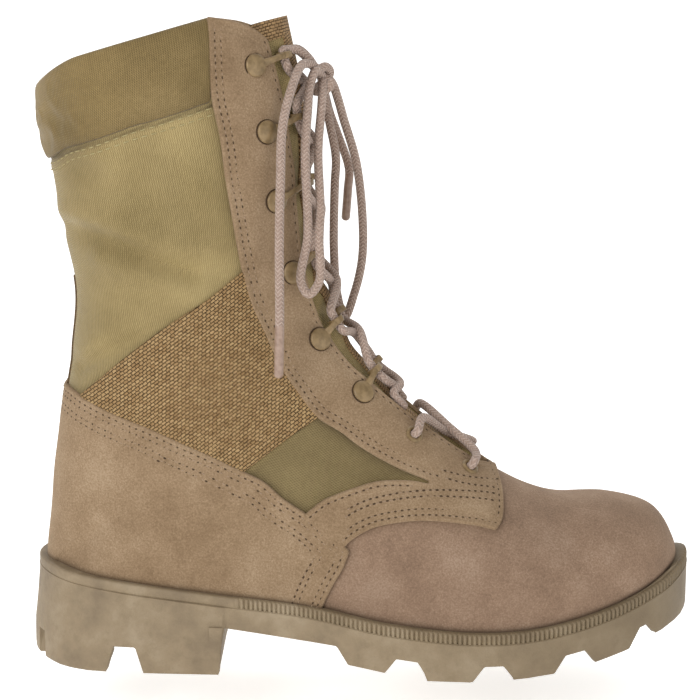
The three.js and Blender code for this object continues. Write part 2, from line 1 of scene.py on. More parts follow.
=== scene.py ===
# Right combat boot with a ten inch shaft: suede and nylon on a moulded rubber sole.
# Shapes are worked out in millimetres from the back of the heel: +X to the toe, +Z up,
# the outer side of the foot towards -Y. toFrame turns them into the frame's metres.
from math import pi

import bmesh
import bpy
import numpy as np
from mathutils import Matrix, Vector


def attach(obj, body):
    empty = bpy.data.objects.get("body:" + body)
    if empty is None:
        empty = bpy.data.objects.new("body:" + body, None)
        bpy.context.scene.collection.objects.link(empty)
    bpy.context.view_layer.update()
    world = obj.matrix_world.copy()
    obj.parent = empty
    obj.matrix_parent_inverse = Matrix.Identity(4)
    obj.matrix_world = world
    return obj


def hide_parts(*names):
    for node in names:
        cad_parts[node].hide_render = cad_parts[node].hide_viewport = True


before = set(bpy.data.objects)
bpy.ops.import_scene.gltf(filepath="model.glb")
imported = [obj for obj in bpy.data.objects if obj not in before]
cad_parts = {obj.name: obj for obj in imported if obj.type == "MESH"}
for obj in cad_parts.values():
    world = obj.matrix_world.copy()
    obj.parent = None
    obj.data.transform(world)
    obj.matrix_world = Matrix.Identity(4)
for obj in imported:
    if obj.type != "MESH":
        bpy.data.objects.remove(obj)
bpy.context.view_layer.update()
frameShift = np.array([-154.10, 0.673, 0.0])
sides = {"outer": -1, "inner": 1}
print("frame loaded")


# Millimetres from the heel's back to the frame's metres, and back.
def toFrame(points):
    return (np.asarray(points, float) + frameShift) / 1000


def fromFrame(places):
    return places * 1000 - frameShift


# ---- camera, at eye level over the outer side ----
view = {"place": (-0.0051, -0.7793, 0.283), "pitch": 0.1815, "lens": 88.7, "sensor": 36}
cameraData = bpy.data.cameras.new("camera")
cameraData.lens, cameraData.sensor_width = view["lens"], view["sensor"]
camera = bpy.data.objects.new("camera", cameraData)
camera.location = view["place"]
camera.rotation_euler = (pi / 2 - view["pitch"], 0, 0)
bpy.context.scene.collection.objects.link(camera)
bpy.context.scene.camera = camera

# ---- the last ----
# A section in each row, toe first: its ridge (front line) and base (feather edge, then
# back seam), half widths at the widest place and at the base, sideways shift of the
# ridge, and how square the front and the back of the section are.
columnNames = ("ridgeX ridgeZ baseX baseZ girthOuter girthInner soleOuter soleInner "
               "shift boxFront boxBack").split()
stations = np.array([
    (302, 40, 302, 40, 0, 0, 0, 0, 3.5, 0.9, 1),             # toe tip
    (300.3, 51, 298, 37, 12, 16, 11, 15, 3, 0.9, 1),
    (291, 65, 286, 31.5, 28, 33.5, 26, 31.5, 2, 0.9, 1),     # toe box
    (271, 71, 262, 23.5, 41, 45, 39.5, 43, 0, 0.9, 1),
    (246, 72, 233, 17.5, 49, 49.5, 47.5, 48, -1.5, 0.95, 1),  # vamp
    (222, 81, 203, 16, 51, 48.5, 49.5, 46, -2.5, 1, 1),      # ball
    (197, 97.5, 166, 19, 47.5, 41, 46, 37.5, -3.5, 1, 1),    # throat
    (173, 118.5, 130, 25.5, 42, 36.5, 40, 32, -4, 1, 1),     # instep
    (155, 139, 86, 30.5, 39, 37.5, 37, 35.5, -3, 1, 0.9),    # waist
    (146, 155, 46, 35.5, 37.5, 37, 34.5, 34.5, -2, 1, 0.88),
    (141, 166, 22, 38.8, 36.5, 36.5, 26, 26, -1.5, 1, 0.92),
    (137.5, 177, 9, 39.5, 36, 36, 0, 0, -1, 1, 0.92),        # back of the heel
    (133.5, 195, 15.3, 97, 35.5, 35.5, 0, 0, 0, 1, 0.88),
    (131, 214, 22, 141, 36.5, 36, 0, 0, 0, 1, 0.85),         # ankle
    (129.5, 233, 24.3, 170, 38, 38, 0, 0, 0, 1, 0.9),
    (126, 256, 17.8, 207, 39.5, 39.5, 0, 0, 0, 1, 0.95),
    (118.5, 291.5, 9.3, 257.5, 41, 41, 0, 0, 0, 1, 1),       # collar
])
heelBack = 11
collarRow = 16
# Half gap between the two facings, by height s up the front.
throat = np.array([(4.8, -12), (5.35, 0), (5.6, 7.5), (6.5, 10), (8, 13), (10.5, 15.5), (13, 17.5),
                   (15, 19), (15.6, 20.5), (16.6, 24)])


# Catmull-Rom through one column of the stations. Past the toe tip, and past the heel
# back for the feather edge, places mirror and widths change sign.
def column(name, s):
    values = stations[:, columnNames.index(name)]
    odd = -1 if name.startswith(("girth", "sole")) else 1
    shaft = np.concatenate([[odd * values[1]], values, 2 * values[-1] - values[[-2, -3]]])
    foot = shaft.copy()
    if name.startswith(("base", "sole")):
        foot[heelBack + 2:heelBack + 4] = odd * values[[heelBack - 1, heelBack - 2]]
        shaft[heelBack] = 2 * values[heelBack] - values[heelBack + 1]
    i = np.clip(np.floor(s).astype(int), 0, collarRow)
    t = s - i
    a, b, c, d = (np.where(s < heelBack, foot[i + k], shaft[i + k]) for k in range(4))
    return b + 0.5 * t * (c - a + t * (2 * a - 5 * b + 4 * c - d + t * (3 * (b - c) + d - a)))


# Sideways place of the ridge, straight between the stations.
def shiftAt(s):
    return np.interp(s, np.arange(len(stations)), stations[:, columnNames.index("shift")])


# Half width of a section, the angle at which it reaches the base and the fraction of
# its chord that one radian's versine covers.
def profile(s, inner):
    away = np.where(inner, -shiftAt(s), shiftAt(s)) * np.minimum(s, 1)
    width = np.maximum(np.where(inner, column("girthInner", s), column("girthOuter", s)) + away, 0)
    sole = np.maximum(np.where(inner, column("soleInner", s), column("soleOuter", s)) + away, 0)
    sole = np.where(s >= heelBack, 0, sole)
    back = column("boxBack", s)
    ratio = np.minimum(sole / np.maximum(width, 1e-6), 0.995) ** (1 / back)
    ratio = np.where(width > 1e-6, ratio, 0.9)
    return width, pi - np.arcsin(ratio), 1 / (1 + np.sqrt(1 - ratio ** 2)), back


# Point of the last: s runs from toe to collar, u from -1 (outer base) over 0 (ridge) to
# 1 (inner base). Along the chord it goes as 1 - cos(angle), across as sin(angle) to a power.
def lastPoint(s, u):
    s, u = np.broadcast_arrays(np.asarray(s, float), np.asarray(u, float))
    width, endAngle, scale, back = profile(s, u > 0)
    angle = np.abs(u) * endAngle
    q = scale * (1 - np.cos(angle))
    power = np.where(angle < pi / 2, column("boxFront", s), back)
    y = width * np.maximum(np.sin(angle), 0) ** power
    x = column("ridgeX", s) * (1 - q) + column("baseX", s) * q
    z = column("ridgeZ", s) * (1 - q) + column("baseZ", s) * q
    return np.stack([x, shiftAt(s) + np.where(u > 0, y, -y), z], -1)


# Vectors scaled to length one.
def unit(v):
    return v / np.maximum(np.linalg.norm(v, axis=-1, keepdims=True), 1e-9)


# Outward normal: the cross product of small steps across and along the last.
def lastNormal(s, u, step=0.01):
    s, u = np.broadcast_arrays(np.asarray(s, float), np.asarray(u, float))
    across = lastPoint(s, np.minimum(u + step, 1)) - lastPoint(s, np.maximum(u - step, -1))
    along = lastPoint(s + step, u) - lastPoint(np.maximum(s - step, 0), u)
    normal = np.cross(across, along)
    normal[(s >= heelBack) & (np.abs(u) > 0.999), 1] = 0
    normal[s < 1e-6] = (1, 0, 0)
    return unit(normal)


# Point of the last moved out along its normal by an offset in mm.
def onLast(s, u, offset):
    return lastPoint(s, u) + lastNormal(s, u) * np.asarray(offset, float)[..., None]


# Half width of the throat, straight between the rows of its table.
def gapAt(s):
    return np.interp(s, throat[:, 0], throat[:, 1])


# Where side view points [x, z] lie on the last: the chord through each point gives s,
# and its place on that chord gives u. Points off the last are left out.
def placeOn(points, side):
    points = np.asarray(points, float)
    rows = np.linspace(0.02, 16.6, 900)
    ridge = np.stack([column("ridgeX", rows), column("ridgeZ", rows)], -1)
    chord = np.stack([column("baseX", rows), column("baseZ", rows)], -1) - ridge
    away = points[:, None] - ridge
    turn = away[..., 0] * chord[:, 1] - away[..., 1] * chord[:, 0]
    q = (away * chord).sum(-1) / (chord ** 2).sum(-1)
    hit = (turn[:, :-1] * turn[:, 1:] <= 0) & (q[:, :-1] > -0.03) & (q[:, :-1] < 1.06)
    found = hit.any(1)
    hit, turn, q = hit[found], turn[found], q[found]
    i = hit.argmax(1)
    m = np.arange(len(i))
    t = turn[m, i] / (turn[m, i] - turn[m, i + 1])
    s = rows[i] + t * (rows[1] - rows[0])
    q = np.clip(q[m, i] + t * (q[m, i + 1] - q[m, i]), 0, 1)
    width, endAngle, scale, back = profile(s, np.full(len(s), side > 0))
    u = np.arccos(np.clip(1 - q / scale, -1, 1)) / endAngle
    return s, side * np.clip(u, 0, 1)


# ---- lines ----
# Length along a line up to each of its points.
def runAlong(points):
    return np.concatenate([[0], np.cumsum(np.linalg.norm(np.diff(points, axis=0), axis=1))])


# The same over a grid of points, along its rows (axis 0) or across them (axis 1).
def runOver(grid, axis):
    first = grid[:, :1] if axis else grid[:1]
    return np.cumsum(np.linalg.norm(np.diff(grid, axis=axis, prepend=first), axis=2), axis=axis)


# The line cut into even steps, as near to the pitch as fits.
def evenly(points, pitch):
    points = np.asarray(points, float)
    run = runAlong(points)
    count = max(int(round(run[-1] / pitch)), 1) + 1
    at = np.linspace(0, run[-1], count)
    return np.stack([np.interp(at, run, points[:, k]) for k in range(points.shape[1])], -1)


# Centripetal Catmull-Rom curve through the points, as even steps.
def smoothLine(points, pitch):
    p = np.array(points, float)
    p = np.vstack([2 * p[0] - p[1], p, 2 * p[-1] - p[-2]])
    gap = np.sqrt(np.linalg.norm(np.diff(p, axis=0), axis=1))[:, None]
    slope = np.diff(p, axis=0) / gap
    tangent = slope[:-1] - (p[2:] - p[:-2]) / (gap[1:] + gap[:-1]) + slope[1:]
    t = np.linspace(0, 1, 24, endpoint=False)[None, :, None]
    a, b = p[1:-2, None], p[2:-1, None]
    da, db = (tangent[:-1] * gap[1:-1])[:, None], (tangent[1:] * gap[1:-1])[:, None]
    run = ((2 * t ** 3 - 3 * t ** 2 + 1) * a + (t ** 3 - 2 * t ** 2 + t) * da
           + (3 * t ** 2 - 2 * t ** 3) * b + (t ** 3 - t ** 2) * db)
    return evenly(np.vstack([run.reshape(-1, p.shape[1]), p[-2]]), pitch)


# The line moved sideways by an amount, to the left of its direction in side view.
def beside(line, amount):
    run = unit(np.gradient(line, axis=0))
    return line + np.stack([-run[:, 1], run[:, 0]], -1) * amount


# Distance from points to a line of short straight pieces.
def distanceTo(x, z, line):
    best = np.full(x.shape, 1e9)
    for (ax, az), (bx, bz) in zip(line[:-1], line[1:]):
        dx, dz = bx - ax, bz - az
        t = np.clip(((x - ax) * dx + (z - az) * dz) / (dx * dx + dz * dz + 1e-12), 0, 1)
        best = np.minimum(best, (x - ax - t * dx) ** 2 + (z - az - t * dz) ** 2)
    return np.sqrt(best)


# Distance inside a closed side view outline, negative outside it.
def insideBy(x, z, outline):
    closed = np.vstack([outline, outline[:1]])
    inside = np.zeros(x.shape, bool)
    for (ax, az), (bx, bz) in zip(closed[:-1], closed[1:]):
        if az != bz:
            inside ^= ((az > z) != (bz > z)) & (x < (bx - ax) * (z - az) / (bz - az) + ax)
    return distanceTo(x, z, closed) * np.where(inside, 1, -1)


# ---- sheets on the last ----
# A sheet is a table of points (s, u, mm across, mm along, field) and triangles between
# them. The field is a distance in mm, and sheets are cut where it changes sign.


# Rows of s whose steps are even in mm where the last is longest.
def evenRows(first, last, pitch):
    s = np.linspace(first, last, 600)
    grid = lastPoint(s[:, None], np.linspace(-1, 1, 9)[None])
    step = np.linalg.norm(np.diff(grid, axis=0), axis=2).max(1)
    run = np.concatenate([[0], np.cumsum(step)])
    return np.interp(np.linspace(0, run[-1], int(run[-1] / pitch) + 2), run, s)


# Sheet over a grid of rows s and columns u, each quad split the same way on both sides.
def sheetOn(rows, columns):
    s, u = np.meshgrid(rows, columns, indexing="ij")
    p = lastPoint(s, u)
    across, along = runOver(p, 1), runOver(p, 0)
    middle = np.abs(columns).argmin()
    across = np.abs(across - across[:, middle:middle + 1])
    i, j = np.meshgrid(np.arange(len(rows) - 1), np.arange(len(columns) - 1), indexing="ij")
    a = (i * len(columns) + j).ravel()
    b, c, d = a + 1, a + len(columns) + 1, a + len(columns)
    left = (columns[:-1] < 0)[j.ravel()]
    first = np.where(left[:, None], np.stack([a, b, c], -1), np.stack([a, b, d], -1))
    second = np.where(left[:, None], np.stack([a, c, d], -1), np.stack([b, c, d], -1))
    data = np.stack([s, u, across, along, np.zeros_like(s)], -1).reshape(-1, 5)
    return {"shape": s.shape, "data": data, "faces": np.vstack([first, second]), "points": p}


# The field divided by the length of its gradient on the surface, so that it is a true
# distance near its zero line wherever the surface turns away from the side view.
def trueDistance(sheet, field):
    p = sheet["points"]
    ps, pu = np.gradient(p, axis=0), np.gradient(p, axis=1)
    fs, fu = np.gradient(field)
    e, f, g = (ps * ps).sum(-1), (ps * pu).sum(-1), (pu * pu).sum(-1)
    area = np.maximum(e * g - f * f, 1e-6)
    slope = np.sqrt(np.maximum((g * fs * fs - 2 * f * fs * fu + e * fu * fu) / area, 0))
    return field / np.clip(slope, 0.3, 1.3)


# Splits each triangle that the level of the field crosses, along that level.
def splitAlong(data, faces, level):
    above = (data[:, -1] > level)[faces]
    count = above.sum(1)
    crossed = (count == 1) | (count == 2)
    whole, cut = faces[~crossed], faces[crossed]
    lone = np.where(count[crossed] == 1, above[crossed].argmax(1), above[crossed].argmin(1))
    cut = np.take_along_axis(cut, (lone[:, None] + np.arange(3)) % 3, 1)
    edges = np.sort(np.vstack([cut[:, [0, 1]], cut[:, [0, 2]]]), axis=1)
    first, back = np.unique(edges[:, 0] * len(data) + edges[:, 1],
                            return_index=True, return_inverse=True)[1:]
    low, high = data[edges[first, 0]], data[edges[first, 1]]
    share = (level - low[:, -1]) / (high[:, -1] - low[:, -1])
    fresh = low + (high - low) * share[:, None]
    fresh[:, -1] = level
    a, b, c = cut.T
    p, q = np.split(len(data) + back.ravel(), 2)
    pieces = [np.stack(t, -1) for t in ((a, p, q), (p, b, c), (p, c, q))]
    return np.vstack([data, fresh]), np.vstack([whole, *pieces])


# Keeps the part of a sheet where the field is above zero, with lines at more levels.
def trimmed(sheet, field, levels=()):
    data, faces = sheet["data"].copy(), sheet["faces"]
    data[:, -1] = field.ravel()
    for level in (0, *levels):
        data, faces = splitAlong(data, faces, level)
    faces = faces[data[faces, -1].mean(1) > 1e-6]
    used, faces = np.unique(faces, return_inverse=True)
    return data[used], faces.reshape(-1, 3)


# Rounded cut edge: a quarter circle over the first millimetres inside the edge.
def roundEdge(field, radius, base=0.45):
    t = 1 - np.clip(field / radius, 0, 1)
    return base + (1 - base) * np.sqrt(1 - t * t)


# Closed shell: an outer and an inner skin at two offsets of the last, and a wall along
# their free edges.
def shell(data, faces, outer, inner):
    s, u = data[:, 0], data[:, 1]
    p, n = lastPoint(s, u), lastNormal(s, u)
    first, weld = np.unique(np.round(p * 500).astype(np.int64), axis=0,
                            return_index=True, return_inverse=True)[1:]
    faces = weld.ravel()[faces]
    faces = faces[(faces != np.roll(faces, 1, axis=1)).all(1)]
    p, n, data = p[first], n[first], data[first]
    outer = (np.zeros(len(s)) + outer)[first]
    inner = (np.zeros(len(s)) + inner)[first]
    count = len(p)
    directed = np.vstack([faces[:, [0, 1]], faces[:, [1, 2]], faces[:, [2, 0]]])
    free = directed[~np.isin(directed[:, 0] * count + directed[:, 1],
                             directed[:, 1] * count + directed[:, 0])]
    a, b = free.T
    walls = np.vstack([np.stack([b, a, a + count], -1), np.stack([b, a + count, b + count], -1)])
    skin = np.vstack([faces, faces[:, ::-1] + count, walls])
    points = np.vstack([p + n * outer[:, None], p + n * inner[:, None]])
    kind = np.repeat([0, 1, 0], [len(faces), len(faces), len(walls)])
    uv = np.vstack([data[:, 2:4]] * 2)
    return points, skin, kind, uv


# Mesh object in the frame, its faces turned outwards, with a UV map in millimetres.
def makePiece(name, points, faces, materials, kind=None, uv=None, sharp=0.7, outward=True):
    mesh = bpy.data.meshes.new(name)
    mesh.from_pydata(toFrame(points), [], [list(face) for face in faces])
    for material in materials:
        mesh.materials.append(material)
    if kind is not None:
        mesh.polygons.foreach_set("material_index", np.asarray(kind, np.int32))
    if uv is not None:
        layer = mesh.uv_layers.new(name="millimetres")
        corner = np.empty(len(mesh.loops), np.int32)
        mesh.loops.foreach_get("vertex_index", corner)
        layer.data.foreach_set("uv", np.asarray(uv, np.float32)[corner].ravel())
    build = bmesh.new()
    build.from_mesh(mesh)
    bmesh.ops.remove_doubles(build, verts=build.verts, dist=1e-6)
    bmesh.ops.dissolve_degenerate(build, dist=1e-6, edges=build.edges)
    if outward:
        bmesh.ops.recalc_face_normals(build, faces=build.faces)
    build.to_mesh(mesh)
    build.free()
    mesh.shade_smooth()
    mesh.set_sharp_from_angle(angle=sharp)
    piece = bpy.data.objects.new(name, mesh)
    bpy.context.scene.collection.objects.link(piece)
    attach(piece, "root")
    return piece


# A mesh's points in metres, a row each.
def pointsOf(mesh):
    places = np.empty(len(mesh.vertices) * 3)
    mesh.vertices.foreach_get("co", places)
    return places.reshape(-1, 3)


# Painted shade on a piece: a number from 0 to 1 at each point, worked out from its x and z in
# millimetres by the given function. The suede and cloth materials darken their colour by it.
def paintShadeOn(piece, amountAt):
    places = fromFrame(pointsOf(piece.data))
    layer = piece.data.attributes.new("dirtAndShade", "FLOAT", "POINT")
    layer.data.foreach_set("value", np.clip(amountAt(places[:, 0], places[:, 2]), 0, 1))


# Quads of a grid of points, where i, j meet i + 1, j + 1. closeRows and closeColumns join
# the last line to the first.
def gridFaces(rows, columns, closeRows=False, closeColumns=False):
    i, j = np.meshgrid(np.arange(rows - (not closeRows)), np.arange(columns - (not closeColumns)),
                       indexing="ij")
    i, j = i.ravel(), j.ravel()
    k, l = (i + 1) % rows, (j + 1) % columns
    return np.stack([i * columns + j, i * columns + l, k * columns + l, k * columns + j], -1)


# One mesh of many copies of a small shape: points (shapes, n, 3) and its faces.
def joined(points, faces):
    count, size = points.shape[:2]
    copies = np.arange(count)[:, None, None] * size + faces
    return points.reshape(-1, 3), copies.reshape(-1, copies.shape[2])


# ---- materials ----
def fromHex(code):
    parts = np.array([int(code[k:k + 2], 16) for k in (1, 3, 5)]) / 255
    linear = np.where(parts <= 0.04045, parts / 12.92, ((parts + 0.055) / 1.055) ** 2.4)
    return (*linear.tolist(), 1)


# Adds one node. Inputs are values or sockets to link from, settings are its properties
# and stops are the positions and colours of a colour ramp.
def addNode(tree, kind, inputs=None, stops=None, **settings):
    made = tree.nodes.new("ShaderNode" + kind)
    for name, value in settings.items():
        setattr(made, name, value)
    for place, colour in enumerate(stops or []):
        ramp = made.color_ramp.elements
        stop = ramp[place] if place < 2 else ramp.new(colour[0])
        stop.position, stop.color = colour[0], fromHex(colour[1])
    for name, value in (inputs or {}).items():
        if isinstance(value, bpy.types.NodeSocket):
            tree.links.new(value, made.inputs[name])
        else:
            made.inputs[name].default_value = value
    return made


# Material with an empty node tree.
def newMaterial(name):
    material = bpy.data.materials.new(name)
    material.use_nodes = True
    material.node_tree.nodes.clear()
    return material, material.node_tree


# Links a bump to the shader, if there is one, and the shader to the output.
def finish(tree, shader, normal=None):
    if normal is not None:
        tree.links.new(normal.outputs["Normal"], shader.inputs["Normal"])
    addNode(tree, "OutputMaterial", {"Surface": shader.outputs[0]})


# Scale of a noise texture whose grains are that many millimetres wide.
def grain(millimetres):
    return 1000 / millimetres


# Split suede, sanded on both faces: no gloss, a soft cloudy nap with a fine speckle
# and a little sheen where the fibres catch the light.
def splitSuede(name, colours, dirt):
    material, tree = newMaterial(name)
    place = addNode(tree, "TexCoord").outputs["Object"]
    cloud = addNode(tree, "TexNoise", {"Vector": place, "Scale": grain(26), "Detail": 4, "Roughness": 0.6})
    speck = addNode(tree, "TexNoise", {"Vector": place, "Scale": grain(0.8), "Detail": 3, "Roughness": 0.7})
    mixed = addNode(tree, "Math", {0: speck.outputs["Fac"], 1: 0.5}, operation="MULTIPLY")
    total = addNode(tree, "Math", {0: cloud.outputs["Fac"], 1: 0.4, 2: mixed.outputs[0]},
                    operation="MULTIPLY_ADD")
    shade = addNode(tree, "ValToRGB", {"Fac": total.outputs[0]},
                    [(0.30, colours[0]), (0.45, colours[1]), (0.60, colours[2])])
    height = addNode(tree, "SeparateXYZ", {"Vector": place})
    low = addNode(tree, "MapRange", {"Value": height.outputs["Z"], "From Min": 0.075, "From Max": 0.02})
    patch = addNode(tree, "TexNoise", {"Vector": place, "Scale": grain(14), "Detail": 5})
    dirtAndShade = addNode(tree, "Math", {0: low.outputs[0], 1: patch.outputs["Fac"]}, operation="MULTIPLY")
    dirtAndShade = addNode(tree, "Math", {0: dirtAndShade.outputs[0], 1: 0.55}, operation="MULTIPLY")
    colour = addNode(tree, "MixRGB", {"Fac": dirtAndShade.outputs[0], "Color1": shade.outputs[0],
                                      "Color2": fromHex(dirt)})
    # Painted shade: the mesh's attribute darkens the colour towards #35271a where contact shadows fall,
    # along the sole's ledge and the panels' edges.
    shadeAttribute = addNode(tree, "Attribute", attribute_name="dirtAndShade")
    colour = addNode(tree, "MixRGB", {"Fac": shadeAttribute.outputs["Fac"], "Color1": colour.outputs[0],
                                      "Color2": fromHex("#35271a")})
    nap = addNode(tree, "TexNoise", {"Vector": place, "Scale": grain(0.9), "Detail": 3, "Roughness": 0.7})
    pile = addNode(tree, "Math", {0: cloud.outputs["Fac"], 1: 1.2, 2: nap.outputs["Fac"]},
                   operation="MULTIPLY_ADD")
    bump = addNode(tree, "Bump", {"Height": pile.outputs[0], "Strength": 0.5, "Distance": 0.0006})
    shader = addNode(tree, "BsdfPrincipled", {"Base Color": colour.outputs[0], "Roughness": 0.95,
                                              "Specular IOR Level": 0.15, "Sheen Weight": 0.25,
                                              "Sheen Roughness": 0.6,
                                              "Sheen Tint": fromHex("#d8c4ac")})
    finish(tree, shader, bump)
    return material


# Textured nylon pack cloth in plain weave: yarns pass over and under each other every
# 0.6 mm, drawn coarser so that they show, with a low sheen on each yarn. The mesh's
# attribute, painted shade, darkens it towards the shade colour given: in the recessed triangle, along the
# panels, under the collar seam and towards the collar's front.
def nylonPackCloth(name, colours, yarn, dirtAndShade="#40331c"):
    material, tree = newMaterial(name)
    place = addNode(tree, "TexCoord")
    split = addNode(tree, "SeparateXYZ", {"Vector": place.outputs["UV"]})
    waves = []
    for axis in ("X", "Y"):
        phase = addNode(tree, "Math", {0: split.outputs[axis], 1: 2 * pi / yarn}, operation="MULTIPLY")
        waves.append(addNode(tree, "Math", {0: phase.outputs[0]}, operation="SINE"))
    weave = addNode(tree, "Math", {0: waves[0].outputs[0], 1: waves[1].outputs[0]}, operation="MULTIPLY")
    ribs = addNode(tree, "Math", {0: waves[0].outputs[0], 1: 0.7, 2: weave.outputs[0]},
                   operation="MULTIPLY_ADD")
    cloud = addNode(tree, "TexNoise", {"Vector": place.outputs["Object"], "Scale": grain(45), "Detail": 3})
    slub = addNode(tree, "TexNoise", {"Vector": place.outputs["UV"], "Scale": 0.5, "Detail": 4})
    faded = addNode(tree, "Math", {0: cloud.outputs["Fac"], 1: 0.4}, operation="MULTIPLY")
    tone = addNode(tree, "Math", {0: ribs.outputs[0], 1: 0.10, 2: faded.outputs[0]},
                   operation="MULTIPLY_ADD")
    tone = addNode(tree, "Math", {0: slub.outputs["Fac"], 1: 0.15, 2: tone.outputs[0]},
                   operation="MULTIPLY_ADD")
    shade = addNode(tree, "ValToRGB", {"Fac": tone.outputs[0]},
                    [(0.13, colours[0]), (0.29, colours[1]), (0.45, colours[2])])
    # Painted shade: the colour goes towards the shade colour by the mesh's attribute.
    shadeAttribute = addNode(tree, "Attribute", attribute_name="dirtAndShade")
    shade = addNode(tree, "MixRGB", {"Fac": shadeAttribute.outputs["Fac"], "Color1": shade.outputs[0],
                                     "Color2": fromHex(dirtAndShade)})
    bump = addNode(tree, "Bump", {"Height": ribs.outputs[0], "Strength": 0.45, "Distance": 0.0003})
    shader = addNode(tree, "BsdfPrincipled", {"Base Color": shade.outputs[0], "Roughness": 0.62,
                                              "Specular IOR Level": 0.3, "Sheen Weight": 0.15,
                                              "Sheen Roughness": 0.4})
    finish(tree, shader, bump)
    return material


# Coarse nylon webbing: staggered floats 2.2 by 1.4 mm that stand proud of dark gaps.
def nylonWebbing(name, colours, gap):
    material, tree = newMaterial(name)
    place = addNode(tree, "TexCoord")
    fray = addNode(tree, "TexNoise", {"Vector": place.outputs["UV"], "Scale": 0.9, "Detail": 3})
    bent = addNode(tree, "VectorMath", {0: fray.outputs["Color"], 1: place.outputs["UV"]}, operation="ADD")
    floats = addNode(tree, "TexBrick", {"Vector": bent.outputs[0], "Scale": 1.0, "Brick Width": 2.2,
                                        "Row Height": 1.35, "Mortar Size": 0.24, "Mortar Smooth": 1.0,
                                        "Color1": fromHex(colours[0]), "Color2": fromHex(colours[1]),
                                        "Mortar": fromHex(gap)}, offset=0.5)
    tone = addNode(tree, "MixRGB", {"Fac": 0.35, "Color1": floats.outputs["Color"],
                                    "Color2": fray.outputs["Fac"]}, blend_type="SOFT_LIGHT")
    raised = addNode(tree, "Math", {0: 1.0, 1: floats.outputs["Fac"]}, operation="SUBTRACT")
    bump = addNode(tree, "Bump", {"Height": raised.outputs[0], "Strength": 0.9, "Distance": 0.0006})
    shader = addNode(tree, "BsdfPrincipled", {"Base Color": tone.outputs[0], "Roughness": 0.8,
                                              "Specular IOR Level": 0.2})
    finish(tree, shader, bump)
    return material


# Moulded rubber, released from a spark-eroded mould: matt with a fine pebble, greyer and
# dustier in patches and darker towards the toe.
def mouldedRubber(name, colours, darkTone):
    material, tree = newMaterial(name)
    place = addNode(tree, "TexCoord").outputs["Object"]
    cloud = addNode(tree, "TexNoise", {"Vector": place, "Scale": grain(22), "Detail": 6, "Roughness": 0.62})
    shade = addNode(tree, "ValToRGB", {"Fac": cloud.outputs["Fac"]},
                    [(0.34, colours[0]), (0.52, colours[1]), (0.68, colours[2])])
    stain = addNode(tree, "TexNoise", {"Vector": place, "Scale": grain(5), "Detail": 6, "Roughness": 0.7})
    amount = addNode(tree, "MapRange", {"Value": stain.outputs["Fac"], "From Min": 0.52, "From Max": 0.75,
                                        "To Max": 0.4})
    colour = addNode(tree, "MixRGB", {"Fac": amount.outputs[0], "Color1": shade.outputs[0],
                                      "Color2": fromHex(darkTone)})
    split = addNode(tree, "SeparateXYZ", {"Vector": place})
    ahead = addNode(tree, "MapRange", {"Value": split.outputs["X"], "From Min": 0.0, "From Max": 0.12,
                                       "To Max": 0.55})
    colour = addNode(tree, "MixRGB", {"Fac": ahead.outputs[0], "Color1": colour.outputs[0],
                                      "Color2": fromHex(darkTone)})
    pebble = addNode(tree, "TexNoise", {"Vector": place, "Scale": grain(0.8), "Detail": 3})
    height = addNode(tree, "Math", {0: cloud.outputs["Fac"], 1: 1.5, 2: pebble.outputs["Fac"]},
                     operation="MULTIPLY_ADD")
    bump = addNode(tree, "Bump", {"Height": height.outputs[0], "Strength": 0.35, "Distance": 0.0005})
    shader = addNode(tree, "BsdfPrincipled", {"Base Color": colour.outputs[0], "Roughness": 0.6,
                                              "Specular IOR Level": 0.35})
    finish(tree, shader, bump)
    return material


# Brass hardware under tan baked enamel: satin, a little uneven.
def bakedEnamel(name, colours):
    material, tree = newMaterial(name)
    place = addNode(tree, "TexCoord").outputs["Object"]
    cloud = addNode(tree, "TexNoise", {"Vector": place, "Scale": grain(3), "Detail": 4})
    shade = addNode(tree, "ValToRGB", {"Fac": cloud.outputs["Fac"]},
                    [(0.35, colours[0]), (0.6, colours[1])])
    bump = addNode(tree, "Bump", {"Height": cloud.outputs["Fac"], "Strength": 0.15, "Distance": 0.0003})
    shader = addNode(tree, "BsdfPrincipled", {"Base Color": shade.outputs[0], "Roughness": 0.42,
                                              "Specular IOR Level": 0.5, "Metallic": 0.1})
    finish(tree, shader, bump)
    return material


# Round braided polyester cord: strands lean 45 degrees to either side in four rows of
# chevrons, 1.8 mm apart.
def braidedCord(name, colours):
    material, tree = newMaterial(name)
    place = addNode(tree, "TexCoord")
    split = addNode(tree, "SeparateXYZ", {"Vector": place.outputs["UV"]})
    zigzag = addNode(tree, "Math", {0: split.outputs["Y"], 1: 0.125}, operation="PINGPONG")
    along = addNode(tree, "Math", {0: split.outputs["X"], 1: 2 * pi / 1.8}, operation="MULTIPLY")
    phase = addNode(tree, "Math", {0: zigzag.outputs[0], 1: 44.0, 2: along.outputs[0]},
                    operation="MULTIPLY_ADD")
    braid = addNode(tree, "Math", {0: phase.outputs[0]}, operation="SINE")
    fuzz = addNode(tree, "TexNoise", {"Vector": place.outputs["Object"], "Scale": grain(2), "Detail": 3})
    fuzz = addNode(tree, "Math", {0: fuzz.outputs["Fac"], 1: 0.3, 2: 0.35}, operation="MULTIPLY_ADD")
    tone = addNode(tree, "Math", {0: braid.outputs[0], 1: 0.09, 2: fuzz.outputs[0]},
                   operation="MULTIPLY_ADD")
    shade = addNode(tree, "ValToRGB", {"Fac": tone.outputs[0]},
                    [(0.34, colours[0]), (0.5, colours[1]), (0.66, colours[2])])
    bump = addNode(tree, "Bump", {"Height": braid.outputs[0], "Strength": 0.7, "Distance": 0.0004})
    shader = addNode(tree, "BsdfPrincipled", {"Base Color": shade.outputs[0], "Roughness": 0.75,
                                              "Specular IOR Level": 0.25, "Sheen Weight": 0.2})
    finish(tree, shader, bump)
    return material


